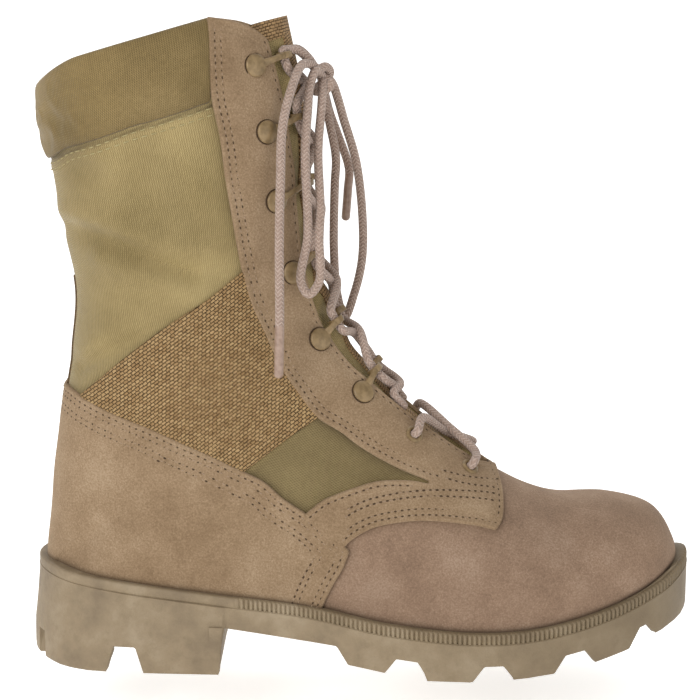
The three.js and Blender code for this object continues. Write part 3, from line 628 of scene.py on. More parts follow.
# Spun polyester thread, board and lacquered tips: one tone with a fine mottle.
def mottled(name, colours, size, roughness):
    material, tree = newMaterial(name)
    place = addNode(tree, "TexCoord").outputs["Object"]
    spots = addNode(tree, "TexNoise", {"Vector": place, "Scale": grain(size), "Detail": 4})
    shade = addNode(tree, "ValToRGB", {"Fac": spots.outputs["Fac"]},
                    [(0.35, colours[0]), (0.65, colours[1])])
    bump = addNode(tree, "Bump", {"Height": spots.outputs["Fac"], "Strength": 0.3, "Distance": 0.0003})
    shader = addNode(tree, "BsdfPrincipled", {"Base Color": shade.outputs[0], "Roughness": roughness})
    finish(tree, shader, bump)
    return material


vampSuede = splitSuede("vamp split suede", ("#6d5848", "#8a715d", "#a28b77"), "#624e3f")
panelSuede = splitSuede("panel split suede", ("#715b43", "#8b745a", "#a38d73"), "#654f39")
packCloth = nylonPackCloth("nylon pack cloth", ("#6d5d35", "#917e53", "#b09d6c"), 1.0)
# The collar's cloth is the pack cloth made darker: painted shade.
shadedCollarCloth = nylonPackCloth("shaded nylon collar cloth", ("#5c4c2a", "#7e693d", "#988256"), 1.0)
liningCloth = nylonPackCloth("nylon lining", ("#5f5438", "#7d6f4b", "#93855e"), 1.4)
strapWebbing = nylonWebbing("ankle webbing", ("#a3875f", "#8c6f4a"), "#3a2a17")
tapeWebbing = nylonWebbing("tongue webbing tape", ("#a3845d", "#8c7150"), "#4d3820")
backTape = mottled("backstay tape", ("#4d3a25", "#6b5336"), 1.0, 0.85)
rubber = mouldedRubber("moulded rubber", ("#776751", "#88775e", "#96866e"), "#6a5b44")
enamel = bakedEnamel("baked enamel", ("#715c3c", "#8a7350"))
cordBraid = braidedCord("braided cord", ("#917a6c", "#ab9486", "#c2ad9f"))
tipLacquer = mottled("lacquered tip", ("#8a7263", "#a08878"), 2.0, 0.35)
thread = mottled("panel thread", ("#86705a", "#98826a"), 0.7, 0.8)
paleThread = mottled("cloth thread", ("#8c7e54", "#a6996e"), 0.7, 0.7)
# Painted shade: a dark tone laid in the needle holes, the eyelets' holes and round the loops' discs.
paintedShadeDark = mottled("painted shade in holes", ("#3a2a1b", "#4d3a28"), 0.7, 1.0)
boardFelt = mottled("sock board", ("#75664a", "#8d7d5e"), 1.5, 0.95)
print("materials made")

# ---- folds ----
# Soft troughs (minus) and ridges (plus) pressed into the cloth and the leather.
folds = [
    {"line": [(24, 199), (37, 196), (49, 192), (62, 187), (80, 181)], "by": -2.7, "width": 4.4},
    {"line": [(24, 206), (38, 203), (52, 199), (70, 193), (90, 190)], "by": 2.0, "width": 6},
    {"line": [(40, 187), (60, 179), (84, 172)], "by": 1.8, "width": 6},
    {"line": [(28, 136), (42, 144), (55, 151)], "by": -2.0, "width": 3.5},
    {"line": [(30, 144), (46, 155), (60, 163)], "by": 1.0, "width": 5},
    {"line": [(16, 233), (30, 226), (48, 218)], "by": -1.5, "width": 7},
    {"line": [(70, 238), (76, 222), (84, 206)], "by": -1.3, "width": 7},
    {"line": [(45, 232), (48, 214)], "by": 1.2, "width": 9},
    {"line": [(125, 160), (140, 149), (150, 138)], "by": -0.9, "width": 6},
    {"line": [(116, 190), (126, 184)], "by": -0.7, "width": 6},
    {"line": [(120, 106), (150, 95), (170, 90)], "by": -0.9, "width": 8},
    {"line": [(228, 74), (243, 66), (252, 54)], "by": -0.9, "width": 8},
    {"line": [(252, 72), (262, 60)], "by": 0.5, "width": 10},
]


# Sum over the folds of height times the bell exp(-(distance / width)^2), half as
# strong on the inner side.
def foldAt(s, u):
    p = lastPoint(s, u)
    total = np.zeros(p.shape[:-1])
    for fold in folds:
        away = distanceTo(p[..., 0], p[..., 2], smoothLine(fold["line"], 4))
        total += fold["by"] * np.exp(-(away / fold["width"]) ** 2)
    slack = 0.3 * np.sin(p[..., 0] * 0.13 + p[..., 2] * 0.06) * np.sin(p[..., 2] * 0.11 - p[..., 0] * 0.05)
    total += slack * np.clip((s - 9) / 2, 0, 1)
    return total * np.where(u > 0, 0.6, 1) * np.clip((np.abs(u) - 0.03) / 0.1, 0, 1)


# ---- outlines of the panels in side view ----
facingRear = smoothLine([(88.5, 290), (89, 268), (90, 255), (93, 240), (95, 223), (98, 203), (100, 190),
                         (105, 167), (110, 155), (118, 137), (126, 125), (134, 115), (145, 108),
                         (153, 102), (165, 95), (184, 86)], 2)
bandTop = smoothLine([(184, 85), (174, 87), (161, 87), (153, 85), (144, 82), (137, 79), (128, 72)], 2)
bandLow = smoothLine([(143, 52), (148, 60), (158, 66.5), (168, 69), (182, 70), (204, 67.5), (214, 65)], 2)
tabFront = smoothLine([(214, 65), (217, 69), (218, 78), (216.5, 84), (214, 91), (216, 104)], 2)
facingTop = smoothLine([(118, 262), (116, 272), (112.5, 280), (106, 285.5), (98, 288.5), (88.5, 290)], 1)
facingOutline = np.vstack([facingRear, bandTop, [(132, 60), (135, 50)], bandLow, tabFront,
                           [(222, 112), (160, 165), (150, 270)], facingTop])
counterTop = smoothLine([(-4, 125.5), (10, 126), (23, 125.5), (32, 122), (47, 116), (61, 111), (74, 105),
                         (87, 99), (101, 92), (111, 87), (119, 80), (131, 72), (139, 65), (149, 57)], 2)
counterFront = smoothLine([(149, 57), (146, 49), (141, 40), (136, 28), (134, 16)], 2)
counterOutline = np.vstack([counterTop, counterFront, [(-10, 16), (-10, 126)]])
strapTop = smoothLine([(24, 119), (30, 125), (39, 133), (53, 145), (69, 157), (87, 169), (104, 182)], 2)
strapLow = smoothLine([(140, 118), (126, 109), (116, 102), (100, 90)], 2)
strapOutline = np.vstack([strapTop, [(125, 160)], strapLow, [(60, 90)]])
strapLean = 0.66  # radians the webbing rises towards the front
collarSeam = smoothLine([(6, 225), (18, 228), (25, 232), (38, 236), (55, 242), (72, 247), (92, 253.5)], 2)

vampOutline = np.array([(214, 96), (208, 78), (165, 77), (146, 70), (139, 52), (130, 8), (320, 0),
                        (320, 130), (226, 130)])


# Distance of each point of a sheet outside the throat, which is open in front of the
# facings only and not at the back seam.
def fromThroat(sheet, more=0.0):
    s, u = (sheet["data"][:, k].reshape(sheet["shape"]) for k in (0, 1))
    away = trueDistance(sheet, np.abs(sheet["points"][..., 1] - shiftAt(s)) - gapAt(s) - more)
    return np.where(np.abs(u) > 0.5, 60, away)


# The same for a panel's outline: distance inside it, on the surface.
def inside(sheet, outline):
    p = sheet["points"]
    return trueDistance(sheet, insideBy(p[..., 0], p[..., 2], outline))


# Height of the sole's ledge round the upper, by length.
featherRows = np.linspace(0, heelBack, 300)
featherX, featherZ = column("baseX", featherRows)[::-1], column("baseZ", featherRows)[::-1]


def ledgeAt(x):
    return np.interp(x, featherX, featherZ) + 5.5


# ---- upper: vamp and shaft ----
upperSize = {"wall": 2.0, "pitch": 1.7, "columns": 181}
whole = sheetOn(evenRows(0, collarRow, upperSize["pitch"]), np.linspace(-1, 1, upperSize["columns"]))
cornerCut = np.interp(whole["data"][:, 0], [15.3, 16], [0, 14]).reshape(whole["shape"])
openAt = fromThroat(whole, 0.5 + cornerCut)
vampAt = inside(whole, vampOutline)

data, faces = trimmed(whole, np.minimum(openAt, vampAt))
fold = foldAt(data[:, 0], data[:, 1])
points, skin, kind, uv = shell(data, faces, fold, np.minimum(fold, 0) - upperSize["wall"])
vamp = makePiece("vamp", points, skin, [vampSuede])
# Painted shade: a contact shadow along the sole's ledge and along the edges of the facings and the counter.
paintShadeOn(vamp, lambda x, z: 0.75 * np.exp(-((z - ledgeAt(x)) / 1.5) ** 2)
       + 0.3 * np.exp(-np.maximum(-insideBy(x, z, facingOutline), 0) / 1.6)
       + 0.25 * np.exp(-np.maximum(-insideBy(x, z, counterOutline), 0) / 1.6))

data, faces = trimmed(whole, np.minimum(openAt, 0.3 - vampAt))
place = lastPoint(data[:, 0], data[:, 1])
belowSeam = distanceTo(place[:, 0], place[:, 2], collarSeam)
seamBand = 0.6 * np.exp(-((belowSeam - 2.4) / 2.0) ** 4)  # the folded band under the collar seam
fold = foldAt(data[:, 0], data[:, 1])
points, skin, kind, uv = shell(data, faces, fold + seamBand, np.minimum(fold, 0) - upperSize["wall"])
shaft = makePiece("shaft_cloth", points, skin, [packCloth, liningCloth], kind, uv)
# Painted shade: the recessed nylon triangle, contact shadows along the facing, the counter and the strap,
# and a shadow line under the collar seam.
triangle = np.array([(98, 88), (146, 128), (190, 88), (150, 84), (129, 70)])
paintShadeOn(shaft, lambda x, z: 0.46 * np.clip(insideBy(x, z, triangle) / 5 + 0.5, 0, 1)
       + 0.35 * np.exp(-distanceTo(x, z, facingRear) / 2.2)
       + 0.3 * np.exp(-distanceTo(x, z, counterTop) / 2.0)
       + 0.25 * np.exp(-distanceTo(x, z, strapTop) / 2.0)
       + 0.6 * np.exp(-(distanceTo(x, z, collarSeam) / 1.1) ** 2))
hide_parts("upper")
print("upper made")


# ---- suede panels ----
panelSize = {"lift": 0.25, "thick": 1.65, "edge": 1.1, "pitch": 1.3, "levels": (0.3, 0.9, 1.8)}


# A panel's outer offset: lift, thickness with a rounded edge, shallow troughs along its
# stitch rows (at these distances from its edge) and the folds.
def panelSkin(field, troughs=(), thick=panelSize["thick"]):
    sunk = sum(0.3 * np.exp(-((field - at) / 0.8) ** 2) for at in troughs)
    return panelSize["lift"] + thick * roundEdge(field, panelSize["edge"]) - sunk


def panelOf(name, sheet, field, material, node, troughs=(), thick=panelSize["thick"]):
    data, faces = trimmed(sheet, field, panelSize["levels"])
    fold = foldAt(data[:, 0], data[:, 1])
    outer = panelSkin(data[:, -1], troughs, thick) + fold
    points, skin, kind, uv = shell(data, faces, outer, 0.05 + np.minimum(fold, 0))
    piece = makePiece(name, points, skin, [material], None, uv)
    # Painted shade: a contact shadow along the sole's ledge.
    paintShadeOn(piece, lambda x, z: 0.7 * np.exp(-((z - ledgeAt(x)) / 1.5) ** 2))
    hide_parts(node)
    return piece


counterSheet = sheetOn(evenRows(5.7, 13.7, panelSize["pitch"]), np.linspace(-1, 1, 231))
counterTroughs, facingTroughs = (2.4, 4.8, 8.6, 11.0), (2.4, 4.9)
panelOf("heel_counter_suede", counterSheet, inside(counterSheet, counterOutline), panelSuede,
        "heel_counter", counterTroughs)

for word, side in sides.items():
    facingSheet = sheetOn(evenRows(4.0, 16.45, panelSize["pitch"]), side * np.linspace(0, 0.86, 120))
    if side < 0:
        facingSheet["faces"] = facingSheet["faces"][:, ::-1]
    field = np.minimum(inside(facingSheet, facingOutline), fromThroat(facingSheet))
    middleY = shiftAt(facingSheet["data"][:, 0]).reshape(field.shape)
    field = np.minimum(field, np.abs(facingSheet["points"][..., 1] - middleY) - 0.25)  # on its own side
    panelOf("eyestay_suede_" + word, facingSheet, field, panelSuede, "eyestay_" + word,
            facingTroughs)
    strapSheet = sheetOn(evenRows(6.0, 15.0, panelSize["pitch"]), side * np.linspace(0.2, 0.985, 100))
    if side < 0:
        strapSheet["faces"] = strapSheet["faces"][:, ::-1]
    sideView = strapSheet["points"][..., [0, 2]].reshape(-1, 2)
    c, n = np.cos(strapLean), np.sin(strapLean)
    strapSheet["data"][:, 2:4] = sideView @ np.array([[c, -n], [n, c]])  # UV along the webbing
    panelOf("ankle_webbing_" + word, strapSheet, inside(strapSheet, strapOutline), strapWebbing,
            "ankle_strap_" + word, (), 1.1)
print("panels made")


# ---- tubes and turned shapes ----
# Tube along a path: rings of radius size(path) in frames carried along without twist,
# closed at both ends by shrinking rings. UV is mm along and turns around.
def tube(path, radius, around=14):
    path = np.asarray(path, float)
    run = unit(np.gradient(path, axis=0))
    normal = unit(np.cross(run[0], (0.31, 0.2, 0.93)))
    normals = []
    for direction in run:  # parallel transport
        normal = unit(normal - direction * (normal @ direction))
        normals.append(normal)
    normals = np.array(normals)
    binormals = np.cross(run, normals)
    cap = np.array([0.02, 0.5, 0.85])
    lean = np.array([1.0, 0.87, 0.5])
    first = path[0] - run[0] * radius * lean[:, None] * 0.8
    last = path[-1] + run[-1] * radius * lean[::-1, None] * 0.8
    path = np.vstack([first, path, last])
    sizes = np.concatenate([cap, np.ones(len(run)), cap[::-1]]) * radius
    normals = np.vstack([normals[:1]] * 3 + [normals] + [normals[-1:]] * 3)
    binormals = np.vstack([binormals[:1]] * 3 + [binormals] + [binormals[-1:]] * 3)
    angle = np.linspace(0, 2 * pi, around + 1)[None, :, None]
    rings = path[:, None] + sizes[:, None, None] * (np.cos(angle) * normals[:, None]
                                                    + np.sin(angle) * binormals[:, None])
    along = runAlong(path)
    turns = np.linspace(0, 1, around + 1)
    uv = np.stack(np.broadcast_arrays(along[:, None], turns[None]), -1).reshape(-1, 2)
    return rings.reshape(-1, 3), gridFaces(len(path), around + 1), uv


# Turned shape: profile rows of (radius, height), carried round the z axis.
def turned(profileRows, around=28):
    radius, height = np.array(profileRows, float).T
    angle = np.linspace(0, 2 * pi, around, endpoint=False)
    x = radius[:, None] * np.cos(angle)
    y = radius[:, None] * np.sin(angle)
    z = np.broadcast_to(height[:, None], x.shape)
    return np.stack([x, y, z], -1).reshape(-1, 3), gridFaces(len(radius), around, False, True)


# u where the surface distance from the throat edge is as given, on one side at height s.
def besideThroat(s, side, distance):
    u = side * np.linspace(0.001, 0.7, 700)
    p = lastPoint(np.full(700, float(s)), u)
    run = runAlong(p)
    edge = np.interp(gapAt(s), np.abs(p[:, 1] - shiftAt(s)), run)
    return float(np.interp(edge + distance, run, u))


# Axes on the last at (s, u): up the front, across, and out of the surface, with the
# point at an offset.
def axesAt(s, u, offset):
    out = lastNormal(s, u)
    up = lastPoint(s + 0.05, u) - lastPoint(s - 0.05, u)
    up = unit(up - out * (up @ out))
    return np.stack([up, np.cross(out, up), out]), onLast(s, u, offset)


# Points in such axes turned to points of the boot.
def placed(points, axes, origin):
    return origin + np.asarray(points, float) @ axes


# ---- speed loops and eyelets ----
facing = 1.9  # outer face of the eyestay
# Height s up the front and mm from the throat's edge, from the top one down.
fittings = [(15.55, 10.8), (14.72, 13), (13.35, 12.5), (11.7, 8), (9.3, 5.6), (7.7, 7.1)]
eyeletPlaces = [(6.68, 9.3), (5.72, 9)]
loopSize = {"disc": 5.1, "neck": 2.7, "thick": 1.0, "ring": (6.4, 6.8), "band": 3.0, "wall": 0.8,
            "reach": 5.7, "lift": 2.8, "discShadow": 0.45}
eyeletSize = {"outer": 4.1, "hole": 2.2, "rise": 0.75}


# Ring: a superellipse path in the y-z plane with a flat rounded section.
def ringShape(width, height, band, wall):
    t = np.linspace(0, 2 * pi, 44, endpoint=False)
    power = 0.62
    y = np.sign(np.cos(t)) * np.abs(np.cos(t)) ** power * (width - wall) / 2
    z = np.sign(np.sin(t)) * np.abs(np.sin(t)) ** power * (height - wall) / 2
    centre = np.stack([y * 0, y, z], -1)
    run = unit(np.roll(centre, -1, axis=0) - np.roll(centre, 1, axis=0))
    outward = np.cross(run, (1, 0, 0))
    k = np.linspace(0, 2 * pi, 12, endpoint=False)
    flat = np.sign(np.cos(k)) * np.abs(np.cos(k)) ** 0.5 * band / 2
    thick = np.sin(k) * wall / 2
    points = (centre[:, None] + flat[None, :, None] * np.array([1, 0, 0])
              + thick[None, :, None] * outward[:, None])
    return points.reshape(-1, 3), gridFaces(44, 12, True, True)


# Neck: a flat bar with round edges that rises from the disc to the wall of the ring.
def neckShape(start, end, out, width, thick):
    line = smoothLine([start, start * 0.6 + end * 0.4 + out * 0.5, end], 0.5)
    run = unit(np.gradient(line, axis=0))
    beside = unit(np.cross(run, out))
    rise = np.cross(beside, run)
    k = np.linspace(0, 2 * pi, 14, endpoint=False)
    wide = np.sign(np.cos(k)) * np.abs(np.cos(k)) ** 0.6 * width / 2
    flare = 1 + 0.5 * np.exp(-np.arange(len(line)) / 3.0)
    points = (line[:, None] + (flare[:, None] * wide)[..., None] * beside[:, None]
              + (np.sin(k) * thick / 2)[None, :, None] * rise[:, None])
    return points.reshape(-1, 3), gridFaces(len(line), 14, False, True)


# One mesh of several: parts are (points, faces).
def stacked(parts):
    points, faces, count = [], [], 0
    for p, f in parts:
        points.append(p)
        faces += (np.asarray(f) + count).tolist()
        count += len(p)
    return np.vstack(points), faces


# Domed disc of radius d, its underside a little below the suede.
def discShape(d):
    return turned([(0, -0.3), (d - 0.6, -0.3), (d - 0.1, 0.25), (d, 0.7), (d - 0.2, 1.15),
                   (d - 0.7, 1.45), (d - 1.6, 1.75), (2.2, 2.1), (0.8, 2.25), (0, 2.25)])


# Rolled flange of an eyelet round its hole, closed on itself.
def flangeShape(hole, outer, rise):
    return turned([(hole, -1.2), (hole + 0.35, -1.2), (outer, 0), (outer, 0.25), (outer - 0.5, 0.55),
                   (hole + 0.9, rise), (hole + 0.25, rise - 0.1), (hole, rise - 0.4), (hole, -1.2)])


# Disc, neck and ring of one loop, and a dark ring round the disc on the suede: a painted shadow.
def speedLoop(s, inset, side):
    d = loopSize["disc"]
    axes, origin = axesAt(s, besideThroat(s, side, inset), facing)
    ringAxes, ringOrigin = axesAt(s, besideThroat(s, side, -loopSize["reach"]), loopSize["lift"])
    toDisc = np.sign(ringAxes[1] @ (origin - ringOrigin))
    way = unit((ringOrigin - origin) - axes[2] * ((ringOrigin - origin) @ axes[2]))
    start = origin + way * (d - 1.2) + axes[2] * 0.9
    end = placed([0, toDisc * (loopSize["ring"][0] / 2 - 0.2), 2.2], ringAxes, ringOrigin)
    disc = discShape(d)
    ring = ringShape(*loopSize["ring"], loopSize["band"], loopSize["wall"])
    discShadow = turned([(0, -0.2), (d + loopSize["discShadow"], -0.2), (d + loopSize["discShadow"] - 0.1, 0.05), (0, 0.06)])
    parts = [(placed(disc[0], axes, origin), disc[1]),
             neckShape(start, end, axes[2], loopSize["neck"], loopSize["thick"]),
             (placed(ring[0], ringAxes, ringOrigin), ring[1])]
    return stacked(parts), (placed(discShadow[0], axes, origin), discShadow[1])


# Dark rings round the loops' discs: painted shadows on the suede.
discShadows = []
for word, side in sides.items():
    for row, (s, inset) in enumerate(fittings):
        (points, skin), discShadow = speedLoop(s, inset, side)
        discShadows.append(discShadow)
        piece = makePiece(f"speed_loop_{word}_{row + 1}_enamel", points, skin, [enamel])
        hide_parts(f"speed_loop_{word}_{row + 1}")
    for row, (s, inset) in enumerate(eyeletPlaces):
        axes, origin = axesAt(s, besideThroat(s, side, inset), facing + 0.05)
        points, skin = flangeShape(eyeletSize["hole"], eyeletSize["outer"], eyeletSize["rise"])
        piece = makePiece(f"eyelet_{word}_{row + 1}_enamel", placed(points, axes, origin), skin, [enamel])
        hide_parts(f"eyelet_{word}_{row + 1}")
        # A dark disc in the eyelet's hole: painted shade.
        plug = eyeletSize["hole"] + 0.1
        points, skin = turned([(0, 0.05), (plug, 0.05), (plug, 0.12), (0, 0.12)], 20)
        holeShadePiece = makePiece(f"eyelet_{word}_{row + 1}_hole", placed(points, axes, origin), skin, [paintedShadeDark])
points, skin = stacked(discShadows)
discShadowPiece = makePiece("fitting_disc_shadows", points, skin, [paintedShadeDark])
print("fittings made")

# ---- lace through the loops ----
laceSize = {"radius": 2.0, "pitch": 1.0, "under": -1.0, "over": 3.2, "edge": 1.5, "clear": 0.6,
            "straight": 5.2, "crossOver": 4.0, "crossUnder": 1.4}


# Places where the lace meets each fitting on one side, from the lowest eyelet up: the
# way in from below and the way out above. From the second eyelet it dives under the facing.
def laceStops(side):
    stops = []
    for s, inset in reversed(eyeletPlaces):
        axes, origin = axesAt(s, besideThroat(s, side, inset), facing)
        hole = placed([0, 0, laceSize["under"]], axes, origin)
        over = placed([0, 0, laceSize["over"]], axes, origin)
        edge = onLast(s, besideThroat(s, side, laceSize["edge"]), facing + laceSize["over"])
        stops.append({"below": [hole, over, edge], "above": [hole, over, edge]})
    stops[1]["above"] = [onLast(t, besideThroat(t, side, -3 - k), 0.4 + k)
                         for k, t in enumerate((6.95, 7.2))]
    near, far = loopSize["band"] / 2 + laceSize["clear"], laceSize["straight"]
    for s, inset in reversed(fittings):
        axes, origin = axesAt(s, besideThroat(s, side, -loopSize["reach"]), loopSize["lift"])
        through = np.array([(0, 0, 0), (near, 0, 0), (far, 0, 0.5)])
        stops.append({way: list(placed(through * (sign, 1, 1), axes, origin))
                      for way, sign in (("below", -1), ("above", 1))})
    return stops


allStops = {side: laceStops(side) for side in (-1, 1)}
levels = [s for s, inset in (*reversed(eyeletPlaces), *reversed(fittings))]
for level in range(7):
    parts, uvs = [], []
    for side in (-1, 1):
        start, end = allStops[side][level]["above"], allStops[-side][level + 1]["below"]
        lift = laceSize["crossOver"] if side < 0 else laceSize["crossUnder"]
        middle = onLast((levels[level] + levels[level + 1]) / 2, 0.0, lift)
        path = smoothLine([*start, middle, *end[::-1]], laceSize["pitch"])
        points, skin, uv = tube(path, laceSize["radius"])
        parts.append((points, skin))
        uvs.append(uv)
    points, skin = stacked(parts)
    piece = makePiece(f"lace_run_{level + 1}", points, skin, [cordBraid], None, np.vstack(uvs))
    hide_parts(f"lace_crossing_{level + 1}")

# ---- bow ----
# Each row is one cord of the bow through its points (x, y, z).
bow = {
    "lace_knot": [(134.5, -6.5, 267), (138, -3, 268.5), (140, 2, 266), (138, 5.5, 262), (134.5, 5.5, 259.5),
                  (133, 1.5, 258), (135, -3, 257.5), (139, -5.5, 259), (141, -6.5, 262)],
    "lace_loop_outer": [(136.5, -4, 264.5), (134, -9.5, 267), (131.5, -14, 261), (130.5, -19, 250),
                        (129.5, -25, 231), (130.5, -28.5, 196), (127.5, -31, 176), (131, -31.5, 170.5),
                        (135.5, -30, 176), (135.5, -28, 194), (136, -24.5, 207), (135, -18, 232),
                        (136.5, -12.5, 252), (137, -6, 262)],
    "lace_loop_inner": [(137.5, 2, 265), (141, 6, 261), (143.5, 9, 254), (146, 12, 245), (152, 18, 224),
                        (155, 21, 195), (154.5, 22, 178), (151, 21, 163), (146.5, 19.5, 152),
                        (143, 20, 163), (141.5, 20, 184), (141.5, 19, 197), (142, 18, 215),
                        (142.5, 16.5, 227), (139.5, 13, 244), (137, 6, 259)],
    "lace_end_outer": [(136, -3, 266), (132, -9, 269.5), (128, -16, 269.5), (124.5, -23, 262),
                       (120, -31, 244), (119, -35.5, 220), (118.5, -39, 195), (118.5, -42, 161),
                       (118, -44, 137)],
    "lace_end_inner": [(136, 3, 264), (137, 10, 259), (139.5, 17.5, 248), (143, 23, 238), (148.5, 26.5, 221),
                       (148, 28, 211), (147, 29.5, 198)],
}
tipLength = 22  # steps of the route, a millimetre each
for name, route in bow.items():
    path = smoothLine(route, laceSize["pitch"])
    points, skin, uv = tube(path, laceSize["radius"])
    piece = makePiece(name + "_braid", points, skin, [cordBraid], None, uv)
    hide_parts(name)
    inFrame = toFrame(path)
    length = float(np.linalg.norm(np.diff(inFrame, axis=0), axis=1).sum())
    tips = []
    if "end" in name:
        tipPath = path[-tipLength:]
        points, skin, uv = tube(tipPath, laceSize["radius"] * 0.98 + 0.12)
        tips = [makePiece(name + "_tip", points, skin, [tipLacquer], None, uv)]

# The lace from each top loop to the knot.
for word, side in sides.items():
    start = allStops[side][7]["above"]
    way = [*start[:2], (121.5, side * 15, 276), (125.5, side * 11.5, 276), (130, side * 7.5, 272.5),
           (135, side * 3, 265)]
    points, skin, uv = tube(smoothLine(way, laceSize["pitch"]), laceSize["radius"])
    piece = makePiece("lace_top_" + word, points, skin, [cordBraid], None, uv)
print("lace made")


# ---- padded cloth ----
# Lets a closed mesh swell as cloth under pressure with its held points fixed, then caps
# how far each point may move.
def swell(piece, held, pressure, cap):
    before = pointsOf(piece.data)
    group = piece.vertex_groups.new(name="held")
    group.add(np.flatnonzero(held).tolist(), 1, "REPLACE")
    cloth = piece.modifiers.new("cloth", "CLOTH")
    cloth.settings.quality = 5
    cloth.settings.use_pressure = True
    cloth.settings.uniform_pressure_force = pressure
    cloth.settings.shrink_min = -0.02
    cloth.settings.effector_weights.gravity = 0
    cloth.settings.vertex_group_mass = "held"
    cloth.point_cache.frame_start, cloth.point_cache.frame_end = 1, 16
    scene = bpy.context.scene
    for at in range(1, 17):
        scene.frame_set(at)
    after = pointsOf(piece.evaluated_get(bpy.context.evaluated_depsgraph_get()).to_mesh())
    piece.modifiers.remove(cloth)
    scene.frame_set(1)
    move = after - before
    far = np.linalg.norm(move, axis=1, keepdims=True)
    move = move * np.minimum(1, cap / np.maximum(far, 1e-9))
    piece.data.vertices.foreach_set("co", (before + move).ravel())
    piece.data.update()


# ---- collar roll ----
# Section from the seam up the outside, over the top and down inside, carried round the
# back from one eyestay to the other. Offsets in mm from the last by share of the way.
collarSize = {"top": 16.1, "front": 90.3, "rows": 26, "columns": 76, "tuck": 6, "pressure": 2.5,
              "cap": 0.0012}
seamS, seamU = placeOn(collarSeam, -1)
seamOrder = np.argsort(-seamU)
edgeHeights = np.linspace(226, 291, 40)
edgeS, edgeU = placeOn(np.stack([np.full(40, collarSize["front"]), edgeHeights], -1), -1)
share = np.linspace(0, 1, collarSize["rows"])[:, None]
rise = np.interp(share, [0, 0.55, 0.72, 1], [0, 0.97, 0.97, 0.42])
over = np.interp(share, [0, 0.55, 0.635, 0.72, 1], [0, 0, 0.12, 0, 0])
away = np.interp(share, [0, 0.05, 0.15, 0.3, 0.45, 0.55, 0.6, 0.65, 0.7, 0.8, 1],
                 [0.1, 1.2, 2.2, 2.7, 2.3, 1.2, 0, -1.8, -3.4, -4.4, -3.8])
wayRound = np.linspace(0, 1, collarSize["columns"])[None]
u = np.full((collarSize["rows"], collarSize["columns"]), 0.7)
for turn in range(4):
    low = np.interp(u, -seamU[seamOrder], seamS[seamOrder])
    backness = np.clip((34 - lastPoint(15.9, -u)[..., 0]) / 26, 0, 1)
    s = low + (collarSize["top"] - 0.14 * backness ** 1.5 - low) * rise + over
    edge = np.interp(s, edgeS, -edgeU)
    u = edge + (1 - edge) * wayRound
tuck = np.clip((collarSize["front"] - lastPoint(s, -u)[..., 0]) / collarSize["tuck"], 0, 1)
lift = np.where(away > 0, 0.1 + (away - 0.1) * np.sqrt(1 - (1 - tuck) ** 2), away)
roll = np.concatenate([onLast(s, -u, lift), onLast(s, u, lift)[:, -2::-1]], axis=1)
columns = roll.shape[1]
uv = np.stack([runOver(roll, 1), runOver(roll, 0)], -1).reshape(-1, 2)
ends = [list(range(0, collarSize["rows"] * columns, columns)),
        list(range(columns - 1, collarSize["rows"] * columns, columns))[::-1]]
collar = makePiece("collar_roll_padded", roll.reshape(-1, 3),
                   gridFaces(collarSize["rows"], columns, True, False).tolist() + ends, [shadedCollarCloth],
                   None, uv, sharp=1.2)
index = np.arange(len(collar.data.vertices))
row, place = index // columns, index % columns
held = (row == 0) | (row > collarSize["rows"] - 7) | (place < 2) | (place > columns - 3)
swell(collar, held, collarSize["pressure"], collarSize["cap"])
smooth = collar.modifiers.new("finish", "SUBSURF")
smooth.levels = smooth.render_levels = 1
# Painted shade: the collar darker towards its front and along its seam.
paintShadeOn(collar, lambda x, z: 0.26 * np.clip((x - 25) / 55, 0, 1)
       + 0.3 * np.exp(-distanceTo(x, z, collarSeam) / 4))
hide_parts("collar_roll")
print("collar made")

# ---- tongue ----
tongueSize = {"face": -2.6, "thick": 3.0, "span": 0.30, "from": 5.0, "to": 15.93, "bulge": 4.0}


# The top of the tongue leans out between the facings and lies flat under them.
def tongueBulge(s, u):
    return np.interp(s, [13.4, 15.2], [0, tongueSize["bulge"]]) * np.clip((0.165 - np.abs(u)) / 0.07, 0, 1)


# Rucks across the instep, under the lace.
def tongueRuck(s):
    return 0.7 * np.sin(s * 5.1) * np.exp(-((s - 9.5) / 3.2) ** 2)


rows = evenRows(tongueSize["from"], tongueSize["to"], 2.2)
columns = np.linspace(-tongueSize["span"], tongueSize["span"], 33)
sGrid, uGrid = np.meshgrid(rows, columns, indexing="ij")
edge = np.clip((1 - np.abs(columns) / tongueSize["span"]) / 0.15, 0, 1)[None]
end = np.clip((rows[-1] - rows) / 0.12, 0, 1)[:, None]
fat = tongueSize["thick"] / 2 * np.sqrt(1 - (1 - np.minimum(edge, end)) ** 2) + 0.25
middle = tongueSize["face"] - tongueSize["thick"] / 2 + tongueBulge(sGrid, uGrid)
ruck = tongueRuck(sGrid)
front = onLast(sGrid, uGrid, middle + fat + ruck)
back = onLast(sGrid, uGrid, middle - fat + ruck * 0.5)
loop = np.concatenate([front, back[:, ::-1]], axis=1)
uvLoop = np.concatenate([np.stack([runOver(front, 1), runOver(front, 0)], -1)] * 2, axis=1)
width = loop.shape[1]
sideFaces = gridFaces(len(rows), width, False, True)
half = len(columns)
j = np.arange(half - 1)
endFaces = [np.stack([j, j + 1, width - 2 - j, width - 1 - j], -1) + row * width
            for row in (0, len(rows) - 1)]
tongue = makePiece("tongue_padded", loop.reshape(-1, 3), np.vstack([sideFaces, *endFaces]),
                   [packCloth], None, uvLoop.reshape(-1, 2), sharp=1.2)
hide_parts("tongue")
